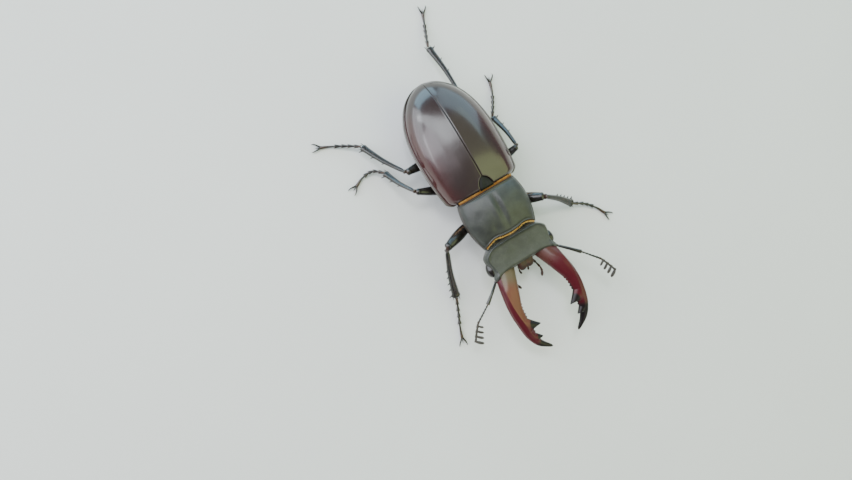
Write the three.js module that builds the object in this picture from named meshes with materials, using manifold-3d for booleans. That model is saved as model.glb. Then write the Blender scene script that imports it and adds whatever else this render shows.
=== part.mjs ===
// A male stag beetle, life size, standing on a level floor with its jaws open.
// Millimetres, +Z up. The head points to -Y and the animal's left is +X.
// The origin is on the floor, at the centre of the footprint. Every shape is made in the
// body's own frame, whose zero is on the floor under the joint of pronotum and wing cases,
// and the whole group then stands at bodyPlace.
import * as THREE from "three";
import { mergeVertices } from "three/addons/utils/BufferGeometryUtils.js";
import Module from "manifold-3d";

const wasm = await Module();
wasm.setup();

// ---- driving dimensions -------------------------------------------------------------

const bodyPlace = [0.436, -3.414]; // where the body's zero stands in the footprint, x and y
const fitGap = 0.25;              // clearance between two pieces that meet

const wingCase = {
  base: 0.15, apex: 27.6,         // y of the front edge and of the tip
  widest: 11, halfWidth: 10.0,    // where the pair is widest, and its half width there
  shoulderLoss: 0.11,              // share of the half width lost from there to the base
  roundness: 2.35,                // exponent of the tip's outline, 2 is an ellipse
  crestAt: 9, crest: 14.4,        // highest point of the seam, y and z
  baseDrop: 0.9,                  // fall of the seam from there to the base
  edgeAtBase: 9.3, edgeFall: 0.092, // z of the side edge, and its fall per mm
  rim: 0.34,                      // width of the rolled edge
  thickness: 0.55,                // height of the edge
};

const shield = {                  // pronotum, the plate over the prothorax
  hind: -0.15, front: -10.9,
  hindHalf: 7.1, midHalf: 7.95, frontHalf: 6.6,
  widest: -5.2,
  topHind: 13.1, topMid: 13.7, topFront: 12.3,
  edge: 9.3, under: 8.75,
  cornerReach: 0.75,              // how far the front corners stand forward of the middle
  groove: 0.32,                   // depth of the long groove on the midline
};

const headSize = {
  neck: -10.75, front: -18.0,
  neckHalf: 5.7, half: 8.0,
  crestY: -11.9, crestHeight: 0.55, crestSweep: 1.5,
  top: 11.9, topFall: 0.14,       // height behind the crest, and fall per mm towards the jaws
  bottom: 5.6, middle: 9.0,
  cornerReach: 1.9,               // how far the cheeks stand forward beside the jaws
};

const eye = { x: 7.55, y: -16.1, z: 8.75, rx: 1.15, ry: 1.75, rz: 1.35 };

const jaw = {                     // one mandible, as its midline from hinge to tip
  line: [[5.4, -17.9, 9.1], [6.85, -22.6, 9.8], [7.65, -26.2, 10.0], [7.55, -29.8, 9.6],
    [7.1, -33.0, 8.7], [5.95, -35.8, 7.6], [3.5, -38.2, 6.7]],
  halfWidth: [2.0, 1.62, 1.26, 1.18, 1.12, 0.8, 0.26],
  halfDepth: [2.2, 1.75, 1.35, 1.15, 0.95, 0.7, 0.26],
  toothAt: [6.7, -30.3, 9.7], toothTip: [4.2, -31.7, 9.8], toothRoot: 1.25,
  tineAt: [6.6, -34.2, 8.2], tineTip: [4.7, -34.9, 8.4], tineRoot: 0.7,
};

const belly = { thoraxEnd: 13.8, end: 26.6, depth: 5.0, depthLoss: 0.05, inset: 0.45 };

const chest = { hind: -0.15, front: -10.4, halfWidth: 7.3, depth: 5.1 }; // prosternum

// Each leg runs from its coxa to the knee, the ankle and the tip of the foot.
const legs = [
  { name: "front_right", coxa: [-3.3, -4.6, 4.9], knee: [-13.65, -6.95, 8.5], ankle: [-16.4, -18.2, 2.2],
    foot: [[-17.6, -21.3], [-18.9, -24.6], [-19.8, -27.2]], teeth: 5, stout: 1 },
  { name: "front_left", coxa: [3.3, -4.6, 4.9], knee: [11.4, -8.0, 9.2], ankle: [18.8, -13.2, 2.2],
    foot: [[21.6, -14.8], [23.9, -17.0], [25.4, -19.5]], teeth: 5, stout: 1 },
  { name: "middle_right", coxa: [-3.1, 3.4, 4.3], knee: [-13.3, 7.2, 8.6], ankle: [-16.3, 14.8, 2.2],
    foot: [[-18.4, 16.5], [-21.0, 16.4], [-23.4, 15.3]], teeth: 3, stout: 0.78 },
  { name: "middle_left", coxa: [3.1, 3.4, 4.3], knee: [12.0, 4.8, 8.5], ankle: [12.4, 13.8, 2.2],
    foot: [[14.2, 16.2], [15.8, 18.8], [16.8, 21.6]], teeth: 3, stout: 0.78 },
  { name: "hind_right", coxa: [-3.2, 12.0, 4.2], knee: [-12.8, 11.9, 7.9], ankle: [-17.9, 22.6, 2.2],
    foot: [[-20.6, 24.4], [-23.6, 26.1], [-26.1, 27.2]], teeth: 3, stout: 0.84 },
  { name: "hind_left", coxa: [3.2, 12.0, 4.2], knee: [7.4, 21.8, 5.6], ankle: [7.4, 35.2, 2.2],
    foot: [[8.7, 38.2], [10.0, 41.0], [10.9, 43.2]], teeth: 3, stout: 0.84 },
];
const legSize = {
  coxa: [2.1, 1.5, 1.5],          // half length across the body, half width, half height
  femurRoot: 0.85, femurMid: 1.25, kneeEnd: 0.85,
  tibiaRoot: 0.55, tibiaTip: 0.95, tibiaFlat: 0.72,
  joint: 0.36, jointTip: 0.56,    // foot segments, at their narrow and wide ends
  clawSegment: 0.3, clawReach: 1.7, clawSpread: 0.9, claw: 0.27,
  tooth: 0.6,                     // reach of the thorns on the shin
};

const feelers = [
  { name: "left", base: [8.1, -18.7, 8.7], elbow: [12.4, -23.0, 9.4], club: [15.7, -26.7, 8.9], tip: [17.6, -30.8, 8.3] },
  { name: "right", base: [-7.9, -18.8, 8.7], elbow: [-12.2, -22.2, 9.2], club: [-16.0, -24.7, 8.4], tip: [-18.5, -28.2, 7.5] },
];
const feelerSize = { scape: 0.42, scapeTip: 0.5, funicle: 0.27, leaf: [0.3, 1.15, 0.55], leaves: 4 };

// ---- finishes -----------------------------------------------------------------------

const finish = (colour, roughness) =>
  new THREE.MeshStandardMaterial({ color: colour, roughness, metalness: 0 });
const finishes = {
  wing: finish(0x3a1c1a, 0.3),
  plate: finish(0x1c1c1a, 0.42),
  head: finish(0x24261f, 0.55),
  jaw: finish(0x651a12, 0.25),
  under: finish(0x1b1614, 0.45),
  leg: finish(0x17120f, 0.3),
  eye: finish(0x0a0a0a, 0.1),
  mouth: finish(0x5a3418, 0.5),
};

// ---- shape tools --------------------------------------------------------------------

const mix = (a, b, t) => a + (b - a) * t;
const clamp = (x, low, high) => Math.min(high, Math.max(low, x));
const ease = (t) => clamp(t, 0, 1) ** 2 * (3 - 2 * clamp(t, 0, 1));
const hump = (x, centre, width) => Math.exp(-(((x - centre) / width) ** 2));
const signedPower = (x, p) => Math.sign(x) * Math.abs(x) ** p;
const vec = (p) => new THREE.Vector3(...p);

// A closed body through rings of points. A ring that has shrunk to a point closes its end,
// and any other end is closed by a fan from the ring's centre.
function loft(rings) {
  const points = [], faces = [], n = rings[0].length;
  const starts = rings.map((ring) => {
    const start = points.length, isPoint = ring.every((p) => p.distanceTo(ring[0]) < 1e-4);
    points.push(...(isPoint ? [ring[0]] : ring));
    return { at: (k) => (isPoint ? start : start + (k % n)), isPoint };
  });
  for (let i = 0; i + 1 < rings.length; i++)
    for (let k = 0; k < n; k++) {
      const [a, b] = [starts[i].at(k), starts[i].at(k + 1)];
      const [c, d] = [starts[i + 1].at(k), starts[i + 1].at(k + 1)];
      if (a !== b) faces.push([a, b, d]);
      if (c !== d) faces.push([a, d, c]);
    }
  for (const [i, turned] of [[0, true], [rings.length - 1, false]]) {
    if (starts[i].isPoint) continue;
    const centre = rings[i].reduce((s, p) => s.clone().add(p)).multiplyScalar(1 / n);
    points.push(centre);
    for (let k = 0; k < n; k++) {
      const [a, b] = [starts[i].at(k), starts[i].at(k + 1)];
      faces.push(turned ? [b, a, points.length - 1] : [a, b, points.length - 1]);
    }
  }
  const volume = faces.reduce(
    (sum, [a, b, c]) => sum + points[a].dot(points[b].clone().cross(points[c])), 0);
  const index = faces.flatMap((f) => (volume < 0 ? [f[0], f[2], f[1]] : f));
  return new THREE.BufferGeometry().setFromPoints(points).setIndex(index);
}

// A limb: an oval section carried along a smooth line. halfWidth lies across the line and
// level, halfDepth stands up; each is read at the share of the line's length.
function limb(line, halfWidth, halfDepth, steps, sides, shares) {
  const curve = new THREE.CatmullRomCurve3(line.map(vec), false, "catmullrom", 0.5);
  const stations = shares ?? Array.from({ length: steps + 1 }, (_, i) => i / steps);
  return loft(stations.map((t) => {
    const centre = curve.getPoint(t), along = curve.getTangent(t);
    const across = along.clone().cross(new THREE.Vector3(0, 0, 1)).normalize();
    const up = across.clone().cross(along).normalize();
    return Array.from({ length: sides }, (_, k) => {
      const angle = (2 * Math.PI * k) / sides;
      return centre.clone()
        .addScaledVector(across, Math.cos(angle) * halfWidth(t))
        .addScaledVector(up, Math.sin(angle) * halfDepth(t));
    });
  }));
}

const roundEnds = (t, end = 0.08) =>
  Math.sqrt(clamp(1 - (1 - clamp(t / end, 0, 1)) ** 2, 0, 1)) *
  Math.sqrt(clamp(1 - (1 - clamp((1 - t) / end, 0, 1)) ** 2, 0, 1));
const readList = (list) => (t) => {
  const at = t * (list.length - 1), i = Math.min(Math.floor(at), list.length - 2);
  return mix(list[i], list[i + 1], at - i);
};

function ellipsoid(centre, radii, stacks = 6, sides = 8) {
  const g = new THREE.SphereGeometry(1, sides, stacks);
  return bare(g.scale(...radii).translate(...centre));
}

// Only positions, with shared corners merged and slivers dropped.
function bare(geometry) {
  const g = geometry.clone();
  for (const name of ["normal", "uv"]) g.deleteAttribute(name);
  const merged = mergeVertices(g, 1e-5), index = merged.index.array, kept = [];
  for (let i = 0; i < index.length; i += 3) {
    const [a, b, c] = [index[i], index[i + 1], index[i + 2]];
    if (a !== b && b !== c && a !== c) kept.push(a, b, c);
  }
  return merged.setIndex(kept);
}

const solidOf = (geometry) => {
  const g = bare(geometry);
  return new wasm.Manifold(new wasm.Mesh({
    numProp: 3,
    vertProperties: new Float32Array(g.attributes.position.array),
    triVerts: new Uint32Array(g.index.array),
  }));
};

// The largest body of a solid, as a geometry.
function geometryOf(solid) {
  const bodies = solid.decompose().sort((a, b) => b.volume() - a.volume());
  const mesh = bodies[0].getMesh(), n = mesh.numProp, points = [];
  for (let i = 0; i < mesh.numVert; i++)
    points.push(new THREE.Vector3(...mesh.vertProperties.subarray(i * n, i * n + 3)));
  return new THREE.BufferGeometry().setFromPoints(points).setIndex([...mesh.triVerts]);
}

function grown(geometry, gap) {
  const g = bare(geometry);
  g.computeVertexNormals();
  const at = g.attributes.position, normal = g.attributes.normal;
  for (let i = 0; i < at.count; i++)
    at.setXYZ(i, at.getX(i) + gap * normal.getX(i), at.getY(i) + gap * normal.getY(i),
      at.getZ(i) + gap * normal.getZ(i));
  return g;
}

const carve = (geometry, ...tools) =>
  geometryOf(tools.reduce((s, tool) => s.subtract(solidOf(grown(tool, fitGap))), solidOf(geometry)));
const join = (...geometries) =>
  geometryOf(geometries.slice(1).reduce((s, g) => s.add(solidOf(g)), solidOf(geometries[0])));
const mirrored = (p, side) => [p[0] * side, p[1], p[2]];

// Everything under the floor is pressed up to it, which leaves small flats at z = 0.
function standOnFloor(geometry) {
  const at = geometry.attributes.position;
  for (let i = 0; i < at.count; i++) at.setZ(i, Math.max(0, at.getZ(i)));
  return geometry;
}

const model = new THREE.Group();
model.position.set(...bodyPlace, 0);
const add = (name, geometry, material) => {
  const mesh = new THREE.Mesh(geometry, material);
  mesh.name = name;
  model.add(mesh);
};

// ---- wing cases ---------------------------------------------------------------------

const tailShare = (y) => clamp((y - wingCase.widest) / (wingCase.apex - wingCase.widest), 0, 1);
const wingEdge = (y) => wingCase.edgeAtBase - wingCase.edgeFall * y;
const wingHalf = (y) => {
  if (y > wingCase.widest)
    return wingCase.halfWidth * Math.sqrt(1 - tailShare(y) ** wingCase.roundness);
  const towardsBase = (wingCase.widest - y) / wingCase.widest;
  const corner = 0.7 * clamp(1 - (y - wingCase.base) / 1.4, 0, 1) ** 2;
  return wingCase.halfWidth * (1 - wingCase.shoulderLoss * towardsBase ** 2.2) - corner;
};
const seamHeight = (y) => {
  if (y < wingCase.crestAt)
    return wingCase.crest - wingCase.baseDrop * ((wingCase.crestAt - y) / wingCase.crestAt) ** 2;
  const fall = clamp((y - wingCase.crestAt) / (wingCase.apex - wingCase.crestAt), 0, 1);
  const low = wingEdge(wingCase.apex);
  return low + (wingCase.crest - low) * Math.sqrt(1 - fall ** 2.4);
};

// One ring: over the back from the seam to the side, down the rolled edge, and back
// underneath. The side's turn is steep, so the back is a flattened arch.
function wingRing(y, side) {
  const seam = fitGap * 0.4, half = wingHalf(y), edge = wingEdge(y), rise = seamHeight(y) - edge;
  const scale = clamp(half / 3, 0, 1), rim = wingCase.rim * scale;
  const low = edge - wingCase.thickness * scale;
  const point = (x, z) => new THREE.Vector3(side * Math.max(seam, x), y, z);
  const back = 8, ring = [];
  for (let k = 0; k < back; k++) {
    const turn = ((Math.PI / 2) * k) / (back - 1);
    ring.push(point((half - rim) * Math.sin(turn) ** 0.92, edge + rise * Math.cos(turn) ** 0.95));
  }
  ring.push(point(half, edge + 0.08 * scale), point(half, low));
  for (const share of [0.5, 0]) ring.push(point((half - rim) * share, low));
  return ring;
}

function makeWingCase(side) {
  const { base, apex } = wingCase, steps = 13, rings = [];
  for (let i = 0; i < steps; i++) {
    const share = Math.sin(((Math.PI / 2) * i) / steps);
    rings.push(wingRing(mix(base, apex, share), side));
  }
  const tip = new THREE.Vector3(side * fitGap * 0.4, apex, wingEdge(apex) - 0.05);
  rings.push(rings[0].map(() => tip.clone()));
  return loft(rings);
}

// The small three-cornered plate between the two wing cases, at their base.
const scutellumSize = { half: 1.9, length: 2.9, base: 0.12, thickness: 0.5, lift: 0.12 };
function makeScutellum() {
  const { half, length, base, thickness, lift } = scutellumSize;
  const rings = [];
  for (let i = 0; i <= 4; i++) {
    const share = i / 4, y = base + length * share;
    const wide = Math.max(0.02, half * (1 - share ** 1.7)), top = seamHeight(y) + lift - 0.25 * share;
    rings.push([-1, -0.5, 0, 0.5, 1].map((s) =>
      new THREE.Vector3(s * wide, y, top - 0.22 * s * s)).concat(
      [1, 0, -1].map((s) => new THREE.Vector3(s * wide, y, top - thickness - 0.1))));
  }
  return loft(rings);
}

// ---- prothorax ----------------------------------------------------------------------

const shieldHalf = (y) => {
  const { hind, front, hindHalf, midHalf, frontHalf, widest } = shield;
  if (y > widest) return mix(midHalf, hindHalf, ((y - widest) / (hind - widest)) ** 2.2);
  return mix(midHalf, frontHalf, ((y - widest) / (front - widest)) ** 1.8);
};
const shieldTop = (y) => {
  const share = (y - shield.hind) / (shield.front - shield.hind);
  return mix(shield.topHind, shield.topFront, share) +
    4 * (shield.topMid - (shield.topHind + shield.topFront) / 2) * share * (1 - share);
};
// The front edge swings forward at the corners and a little in the middle.
const frontSwing = (x, share) =>
  share ** 3 * (-shield.cornerReach * Math.abs(x / shield.frontHalf) ** 4
    + 0.5 * hump(Math.abs(x), 3.9, 1.8));

function makeShield() {
  const steps = 12, rings = [];
  for (let i = 0; i <= steps; i++) {
    const share = (1 - Math.cos((Math.PI * i) / steps)) / 2;
    const y = mix(shield.hind, shield.front, share), half = shieldHalf(y);
    const endRoll = 1 - 0.35 * (hump(share, 0, 0.03) + hump(share, 1, 0.03));
    const ring = [];
    for (let k = 0; k <= 12; k++) {
      const turn = Math.PI * (1 - k / 12), s = signedPower(Math.cos(turn), 0.9);
      const x = half * s;
      const groove = shield.groove * hump(x, 0, 0.75) * hump(share, 0.5, 0.36);
      const z = shield.edge + (shieldTop(y) - shield.edge) * endRoll * Math.sin(turn) ** 0.85 - groove;
      ring.push(new THREE.Vector3(x, y + frontSwing(x, share), Math.max(z, shield.edge)));
    }
    for (const s of [1, 0, -1])
      ring.push(new THREE.Vector3(s * half * 0.97, y + frontSwing(s * half, share), shield.under));
    rings.push(ring);
  }
  return loft(rings);
}

// The underside of a body length: flat above, and a rounded keel below.
function keel(fromY, toY, topAt, halfAt, depthAt, steps, endRound) {
  const rings = [];
  for (let i = 0; i <= steps; i++) {
    const share = i / steps, y = mix(fromY, toY, share), ring = [];
    const close = endRound(share), half = halfAt(y) * mix(0.55, 1, close);
    const depth = depthAt(y) * close, top = topAt(y);
    for (let k = 0; k <= 10; k++) {
      const turn = Math.PI * (k / 10);
      ring.push(new THREE.Vector3(half * signedPower(Math.cos(turn), 0.8), y,
        top - 0.5 * close - (depth - 0.5 * close) * Math.sin(turn) ** 1.15));
    }
    for (const s of [-1, 0, 1]) ring.push(new THREE.Vector3(s * half, y, top));
    rings.push(ring);
  }
  return loft(rings);
}

const makeChest = () => keel(chest.hind, chest.front, () => shield.under - fitGap,
  (y) => chest.halfWidth * (shieldHalf(y) / shield.midHalf),
  () => chest.depth, 7, (share) => mix(0.72, 1, Math.sin(Math.PI * clamp(share, 0.02, 0.98)) ** 0.6));

const underWing = (y) => wingEdge(y) - wingCase.thickness - fitGap;
const bellyHalf = (y) => Math.max(0.4, wingHalf(y) - belly.inset);
const bellyDepth = (y) => (belly.depth - belly.depthLoss * y) * Math.sqrt(clamp(1 - tailShare(y) ** 3, 0.02, 1));
const makeThorax = () => keel(0.15, belly.thoraxEnd - fitGap, underWing, bellyHalf, bellyDepth, 6,
  (share) => mix(0.8, 1, ease(share / 0.25)));
const makeAbdomen = () => keel(belly.thoraxEnd, belly.end, underWing, bellyHalf, bellyDepth, 8, () => 1);

// ---- head ---------------------------------------------------------------------------

const headHalf = (y) => {
  const back = ease((headSize.neck - y) / 2.9);
  return mix(headSize.neckHalf, headSize.half, back) - 0.25 * hump(y, -16.6, 1.1);
};
const crestLine = (x) => headSize.crestY - headSize.crestSweep * Math.abs(x / headSize.half) ** 3;
const headTop = (x, y) => {
  const behind = ease((y - headSize.crestY + 0.7) / 1.6);
  const plate = headSize.top + headSize.topFall * (y - headSize.crestY);
  return plate - 1.5 * behind + headSize.crestHeight * hump(y, crestLine(x), 0.55)
    + 0.25 * hump(Math.abs(x), 6.9, 0.7) * ease((headSize.crestY - y) / 2);
};

function makeHead() {
  const steps = 13, sides = 20, rings = [];
  for (let i = 0; i <= steps; i++) {
    const share = i / steps, y = mix(headSize.neck, headSize.front, share), half = headHalf(y);
    const frontRoll = 1 - 0.14 * ease((share - 0.9) / 0.1);
    const ring = [];
    for (let k = 0; k < sides; k++) {
      const turn = (2 * Math.PI * k) / sides, up = Math.sin(turn) > 0;
      const x = half * signedPower(Math.cos(turn), 0.62) * frontRoll;
      const reach = up ? headTop(x, y) - headSize.middle : headSize.middle - headSize.bottom;
      const z = headSize.middle + signedPower(Math.sin(turn), up ? 0.45 : 0.75) * reach * frontRoll;
      const cheek = -headSize.cornerReach * Math.abs(x / headSize.half) ** 5 * ease((share - 0.55) / 0.45);
      ring.push(new THREE.Vector3(x, y + cheek, z));
    }
    rings.push(ring);
  }
  return loft(rings);
}

const makeEye = (side) => ellipsoid([eye.x * side, eye.y, eye.z], [eye.rx, eye.ry, eye.rz], 6, 10);

// ---- jaws and mouth -----------------------------------------------------------------

function makeJaw(side) {
  const widths = readList(jaw.halfWidth), depths = readList(jaw.halfDepth);
  const horn = limb(jaw.line.map((p) => mirrored(p, side)), widths, depths, 15, 8);
  const spike = (from, to, root, lift) => {
    const a = mirrored(from, side), b = mirrored(to, side);
    const mid = a.map((x, i) => mix(x, b[i], 0.55) + (i === 2 ? lift : 0));
    return limb([a, mid, b], (t) => mix(root, 0.24, t ** 0.8), (t) => mix(root * 0.75, 0.24, t ** 0.8), 3, 5);
  };
  return join(horn, spike(jaw.toothAt, jaw.toothTip, jaw.toothRoot, 0.1),
    spike(jaw.tineAt, jaw.tineTip, jaw.tineRoot, 0.15));
}

const makeLabrum = () => limb([[0, -18.8, 9.0], [0, -19.9, 8.6], [0, -20.9, 7.9]],
  (t) => 2.3 * mix(1, 0.72, t) * roundEnds(mix(0.3, 1, t), 0.3) + 0.05,
  (t) => 0.6 * roundEnds(mix(0.3, 1, t), 0.3) + 0.05, 4, 8);
const makeMentum = () => ellipsoid([0, -16.9, 4.85], [2.8, 1.7, 0.45], 4, 10);
const makePalp = (side, line, radius) => limb(line.map((p) => mirrored(p, side)),
  (t) => radius * (1 + 0.18 * Math.cos(6 * Math.PI * t)) * roundEnds(t, 0.1) + 0.02,
  (t) => radius * (1 + 0.18 * Math.cos(6 * Math.PI * t)) * roundEnds(t, 0.1) + 0.02, 5, 6);
const palps = {
  maxillary: [[2.3, -18.9, 6.2], [3.1, -20.6, 5.8], [3.4, -22.2, 5.5], [2.8, -23.7, 5.3]],
  labial: [[0.8, -18.9, 5.5], [1.1, -19.9, 5.1], [0.9, -20.9, 4.7]],
};

// ---- legs ---------------------------------------------------------------------------

const between = (a, b, t) => a.map((x, i) => mix(x, b[i], t));

// A shin with its row of thorns on the outer edge and two spurs at the end.
function makeTibia(leg) {
  const { knee, ankle } = leg, s = leg.stout;
  const outward = vec(ankle).sub(vec(knee)).cross(new THREE.Vector3(0, 0, 1)).normalize();
  if (outward.x * knee[0] < 0) outward.negate();
  const start = between(knee, ankle, 0.03), end = between(knee, ankle, 0.97);
  const bow = between(start, end, 0.5).map((x, i) => x + outward.getComponent(i) * 0.3);
  const shin = limb([start, bow, end],
    (t) => s * mix(legSize.tibiaRoot, legSize.tibiaTip, t ** 1.4) * roundEnds(mix(0.02, 0.985, t), 0.04),
    (t) => s * mix(legSize.tibiaRoot, legSize.tibiaTip * legSize.tibiaFlat, t) * roundEnds(mix(0.02, 0.985, t), 0.04),
    5, 8);
  const thorns = [];
  for (let k = 0; k < leg.teeth; k++) {
    const share = leg.teeth === 5 ? 0.42 + 0.13 * k : 0.45 + 0.25 * k;
    const width = s * mix(legSize.tibiaRoot, legSize.tibiaTip, share ** 1.4);
    const root = vec(between(start, end, share)).addScaledVector(outward, width * 0.55);
    const reach = legSize.tooth * (k === leg.teeth - 1 ? 1.25 : 0.85);
    const tip = root.clone().addScaledVector(outward, reach)
      .add(vec(ankle).sub(vec(knee)).normalize().multiplyScalar(reach * 0.55));
    thorns.push(limb([root.toArray(), tip.toArray()],
      (t) => mix(0.34, 0.2, t), (t) => mix(0.3, 0.2, t), 1, 3));
  }
  return join(shin, ...thorns);
}

// Five foot joints, each widening to its end, then two hooked claws.
function makeFoot(leg) {
  const line = [leg.ankle, ...leg.foot.map(([x, y], i) => [x, y, [1.35, 0.62, 0.34][i]])];
  const shares = [0, 0.15, 0.16, 0.3, 0.31, 0.44, 0.45, 0.585, 0.6, 0.8, 1];
  const ends = [0.155, 0.305, 0.445, 0.59];
  const thick = (t) => {
    const from = [0, ...ends].filter((e) => e < t + 0.004).pop(), to = [...ends, 1].find((e) => e >= t + 0.004) ?? 1;
    const share = clamp((t - from) / (to - from), 0, 1);
    if (t >= 0.595) return mix(legSize.clawSegment, legSize.joint * 1.15, share);
    return mix(legSize.joint, legSize.jointTip, share ** 1.5);
  };
  const chain = limb(line, thick, thick, 0, 6, shares);
  const tip = vec(line[3]), forward = tip.clone().sub(vec(line[2])).setZ(0).normalize();
  const across = forward.clone().cross(new THREE.Vector3(0, 0, 1));
  const claws = [-1, 1].map((side) => {
    const at = (ahead, out, z) => tip.clone().addScaledVector(forward, ahead)
      .addScaledVector(across, side * out).setZ(z).toArray();
    return limb([at(-0.25, 0.1, 0.42), at(legSize.clawReach * 0.5, legSize.clawSpread * 0.75, 0.62),
      at(legSize.clawReach, legSize.clawSpread, 0.2)],
    (t) => mix(0.3, legSize.claw, t), (t) => mix(0.3, legSize.claw, t), 2, 4);
  });
  return standOnFloor(join(chain, ...claws));
}

const makeCoxa = (leg) => ellipsoid(leg.coxa, legSize.coxa, 5, 8);

// Where the femur leaves its coxa.
const femurRoot = (leg) => {
  const side = Math.sign(leg.knee[0]);
  return [leg.coxa[0] + side * 2.35, mix(leg.coxa[1], leg.knee[1], 0.12), leg.coxa[2] + 0.1];
};

// The groove under the body that takes the coxa and the root of the femur.
function makeGroove(leg) {
  const side = Math.sign(leg.knee[0]), root = femurRoot(leg);
  const inner = [leg.coxa[0] - side * (legSize.coxa[0] + 0.6), leg.coxa[1], leg.coxa[2]];
  const line = [inner, root, between(root, leg.knee, 0.5), between(root, leg.knee, 1.12)];
  const radius = (t) => legSize.coxa[2] * mix(1.3, 1.04, ease((t - 0.3) / 0.12));
  return limb(line, radius, radius, 0, 6, [0, 0.3, 0.42, 1]);
}

function makeFemur(leg) {
  const s = leg.stout, root = femurRoot(leg);
  return limb([root, between(root, leg.knee, 0.5), leg.knee],
    (t) => s * (mix(legSize.femurRoot, legSize.kneeEnd, t) + (legSize.femurMid - 0.8) * Math.sin(Math.PI * t)) * roundEnds(mix(0.03, 0.99, t), 0.1),
    (t) => s * (mix(legSize.femurRoot, legSize.kneeEnd, t) + (legSize.femurMid - 0.85) * Math.sin(Math.PI * t)) * roundEnds(mix(0.03, 0.99, t), 0.1),
    5, 8);
}

// ---- feelers ------------------------------------------------------------------------

const makeScape = (f) => limb([f.base, between(f.base, f.elbow, 0.5).map((x, i) => x + (i === 2 ? 0.3 : 0)), f.elbow],
  (t) => mix(feelerSize.scape * 0.8, feelerSize.scapeTip, t) * roundEnds(mix(0.02, 0.98, t), 0.06),
  (t) => mix(feelerSize.scape * 0.8, feelerSize.scapeTip, t) * roundEnds(mix(0.02, 0.98, t), 0.06), 4, 6);
const makeFunicle = (f) => {
  const start = between(f.elbow, f.club, 0.14);
  const bead = (t) => feelerSize.funicle * (1 + 0.2 * Math.sin(10 * Math.PI * t - Math.PI / 2));
  return limb([start, between(start, f.club, 0.97)], bead, bead, 10, 5);
};

// The club: a stem with flat leaves that point inwards, each longer than the last.
function makeClub(f) {
  const along = vec(f.tip).sub(vec(f.club)).normalize();
  const across = along.clone().cross(new THREE.Vector3(0, 0, 1)).normalize();
  if (across.x * f.tip[0] > 0) across.negate();
  const up = along.clone().cross(across), parts = [];
  parts.push(limb([f.club, f.tip], () => 0.3, () => 0.3, 2, 6));
  for (let k = 0; k < feelerSize.leaves; k++) {
    const share = mix(0.16, 0.98, k / (feelerSize.leaves - 1));
    const size = mix(0.72, 1, k / (feelerSize.leaves - 1));
    const place = vec(f.club).lerp(vec(f.tip), share).addScaledVector(across, feelerSize.leaf[1] * size * 0.75);
    const turn = new THREE.Matrix4().makeBasis(along, across, up).setPosition(place);
    const [thick, long, tall] = feelerSize.leaf;
    parts.push(bare(new THREE.SphereGeometry(1, 6, 3).scale(thick, long * size, tall * size).applyMatrix4(turn)));
  }
  return join(...parts);
}

// ---- the whole beetle ---------------------------------------------------------------

const sides = [["left", 1], ["right", -1]];
const coxae = legs.map(makeCoxa), femora = legs.map(makeFemur), grooves = legs.map(makeGroove);
const head = makeHead(), eyes = sides.map(([, side]) => makeEye(side));
const labrum = makeLabrum(), mentum = makeMentum();
const scutellum = makeScutellum(), shieldPlate = makeShield(), chestPlate = makeChest();
const scapes = feelers.map(makeScape);
const palpPieces = Object.entries(palps).flatMap(([name, line]) =>
  sides.map(([word, side]) => [`palp_${name}_${word}`, makePalp(side, line, name === "labial" ? 0.27 : 0.33)]));

add("pronotum", shieldPlate, finishes.plate);
add("prosternum", carve(chestPlate, grooves[0], grooves[1]), finishes.under);
add("head", carve(head, shieldPlate, chestPlate, ...eyes, ...scapes), finishes.head);
sides.forEach(([word, side], i) => {
  add(`eye_${word}`, eyes[i], finishes.eye);
  add(`mandible_${word}`, carve(makeJaw(side), head, labrum), finishes.jaw);
  add(`elytron_${word}`, carve(makeWingCase(side), scutellum), finishes.wing);
});
add("labrum", labrum, finishes.mouth);
add("mentum", mentum, finishes.under);
for (const [name, piece] of palpPieces) add(name, piece, finishes.mouth);
add("scutellum", scutellum, finishes.plate);
add("thorax", carve(makeThorax(), ...grooves.slice(2), coxae[5]), finishes.under);
add("abdomen", carve(makeAbdomen(), grooves[4], grooves[5]), finishes.under);
legs.forEach((leg, i) => {
  const tibia = makeTibia(leg);
  add(`coxa_${leg.name}`, coxae[i], finishes.leg);
  add(`femur_${leg.name}`, carve(femora[i], coxae[i], tibia), finishes.leg);
  add(`tibia_${leg.name}`, tibia, finishes.leg);
  add(`tarsus_${leg.name}`, carve(makeFoot(leg), tibia), finishes.leg);
});
feelers.forEach((f, i) => {
  const funicle = makeFunicle(f);
  add(`antenna_scape_${f.name}`, scapes[i], finishes.leg);
  add(`antenna_stem_${f.name}`, carve(funicle, scapes[i]), finishes.leg);
  add(`antenna_club_${f.name}`, carve(makeClub(f), funicle), finishes.leg);
});

export default model;
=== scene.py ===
import math
import bpy
import numpy as np
from mathutils import Matrix, Vector


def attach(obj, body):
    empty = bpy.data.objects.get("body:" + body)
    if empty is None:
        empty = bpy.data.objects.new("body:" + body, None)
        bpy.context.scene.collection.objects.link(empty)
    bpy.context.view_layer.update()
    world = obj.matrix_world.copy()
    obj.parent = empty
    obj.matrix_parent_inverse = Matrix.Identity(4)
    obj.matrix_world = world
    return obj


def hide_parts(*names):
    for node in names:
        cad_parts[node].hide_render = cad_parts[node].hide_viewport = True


# A male stag beetle, life size, on a pale studio floor. Lengths are worked out in millimetres
# in the beetle's own frame: +X is its left, the head points to -Y, z = 0 is the floor and
# y = 0 lies under the joint of pronotum and wing cases. toRow() turns them into metres.

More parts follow.
